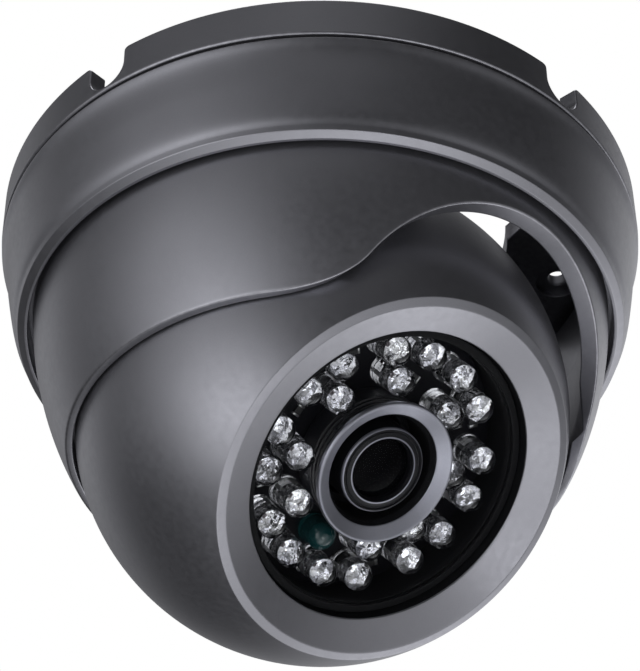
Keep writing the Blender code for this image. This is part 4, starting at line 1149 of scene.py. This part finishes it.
# Soft lights round the camera, each with its azimuth, elevation, sharpness and strength.
LIGHTS = (
    (-90.0, -30.0, 12.0, 1.9),   # left key, low
    (-100.0, 5.0, 6.0, 0.7),     # left wall
    (100.0, -30.0, 12.0, 1.8),   # right key, low
    (100.0, 15.0, 6.0, 1.0),     # right wall
    (0.0, -90.0, 10.0, 1.4),     # from straight below
    (10.0, -60.0, 6.0, 0.6),     # below and in front
    (15.0, -25.0, 8.0, 0.4),     # front
    (180.0, 25.0, 12.0, 0.55),   # behind
    (-45.0, 45.0, 12.0, 0.25),   # high front
    (0.0, 90.0, 50.0, 4.0),      # overhead, for the floor
    (-10.0, -55.0, 200.0, 4.5),  # small hard light that makes the lamps sparkle
)
AMBIENT = 0.012
FLOOR_DROP = 1000.0
FLOOR_RADIUS = 2400.0
FLOOR_THICKNESS = 10.0


def make_studio():
    world = bpy.data.worlds.new("studio")
    bpy.context.scene.world = world
    world.use_nodes = True
    tree = world.node_tree
    direction = add_node(tree, "TexCoord").outputs["Generated"]
    light = AMBIENT
    for azimuth, elevation, sharpness, strength in LIGHTS:
        across, ahead = at_azimuth(cos(radians(elevation)), azimuth)
        towards = (across, ahead, sin(radians(elevation)))
        light = maths(tree, "ADD", lobe(tree, direction, towards, sharpness, strength), light)
    backdrop = add_node(tree, "Background")
    put(backdrop, Color=(1.0, 1.0, 1.0), Strength=1.0)
    glow = add_node(tree, "Background")
    put(glow, Color=(0.97, 0.975, 1.0), Strength=light)
    seen = add_node(tree, "LightPath").outputs["Is Camera Ray"]
    mix_into(tree, seen, glow, backdrop, "World Output")


def make_floor():
    """A pale disc far below, that only the camera sees, so it doesn't change the light on the object."""
    top, bottom = -FLOOR_DROP, -FLOOR_DROP - FLOOR_THICKNESS
    floor = bmesh.new()
    add_lathe(floor, [(0.0, top), (FLOOR_RADIUS, top), (FLOOR_RADIUS, bottom), (0.0, bottom)], 96)
    pale = surface("pale_floor", (0.86, 0.86, 0.87), 0.7, grain=60.0, depth=0.2, variation=0.01)
    shader = pale.node_tree.nodes["Principled BSDF"]
    put(shader, Emission_Color=(1.0, 1.0, 1.0), Emission_Strength=0.4)
    ground = build("floor", floor, WORLD, [pale])
    ground.visible_diffuse = False
    ground.visible_glossy = False
    ground.visible_transmission = False
    ground.visible_shadow = False


# Degrees, metres from the ceiling face's centre, and a focal length for a 36 mm sensor.
CAMERA_AZIMUTH = -47.5
CAMERA_ELEVATION = -42.516
CAMERA_DISTANCE = 0.43125
CAMERA_PITCH = -2.444
CAMERA_YAW = -0.02
CAMERA_ROLL = -0.514
CAMERA_LENS = 125.82


def turn_pair(first, second, angle):
    """Two square directions, turned by an angle in their plane."""
    c, s = cos(angle), sin(angle)
    return first * c + second * s, second * c - first * s


def make_camera():
    a, e = radians(CAMERA_AZIMUTH), radians(CAMERA_ELEVATION)
    pitch, yaw, roll = (radians(v) for v in (CAMERA_PITCH, CAMERA_YAW, CAMERA_ROLL))
    back = Vector((sin(a) * cos(e), -cos(a) * cos(e), sin(e)))
    right = Vector((cos(a), sin(a), 0.0))
    ahead = -back
    up = right.cross(ahead)
    ahead, up = turn_pair(ahead, up, pitch)
    ahead, right = turn_pair(ahead, right, yaw)
    right, up = turn_pair(right, up, roll)
    matrix = Matrix((right, up, -ahead)).transposed().to_4x4()
    matrix.translation = back * CAMERA_DISTANCE
    data = bpy.data.cameras.new("camera")
    data.sensor_width = 36.0
    data.lens = CAMERA_LENS
    data.clip_start = 0.01
    data.clip_end = 20.0
    camera = bpy.data.objects.new("camera", data)
    bpy.context.scene.collection.objects.link(camera)
    camera.matrix_world = WORLD @ matrix
    bpy.context.scene.camera = camera


make_base()
make_trim_ring()
make_friction_ring()
make_shroud()
make_front_shell()
make_rear_shell()
make_screws()
make_window()
make_lamps()
make_boards()
make_lens()
make_cradle()
make_hub()
make_studio()
make_floor()
make_camera()
bpy.context.scene.view_settings.view_transform = "Standard"
bpy.context.view_layer.update()
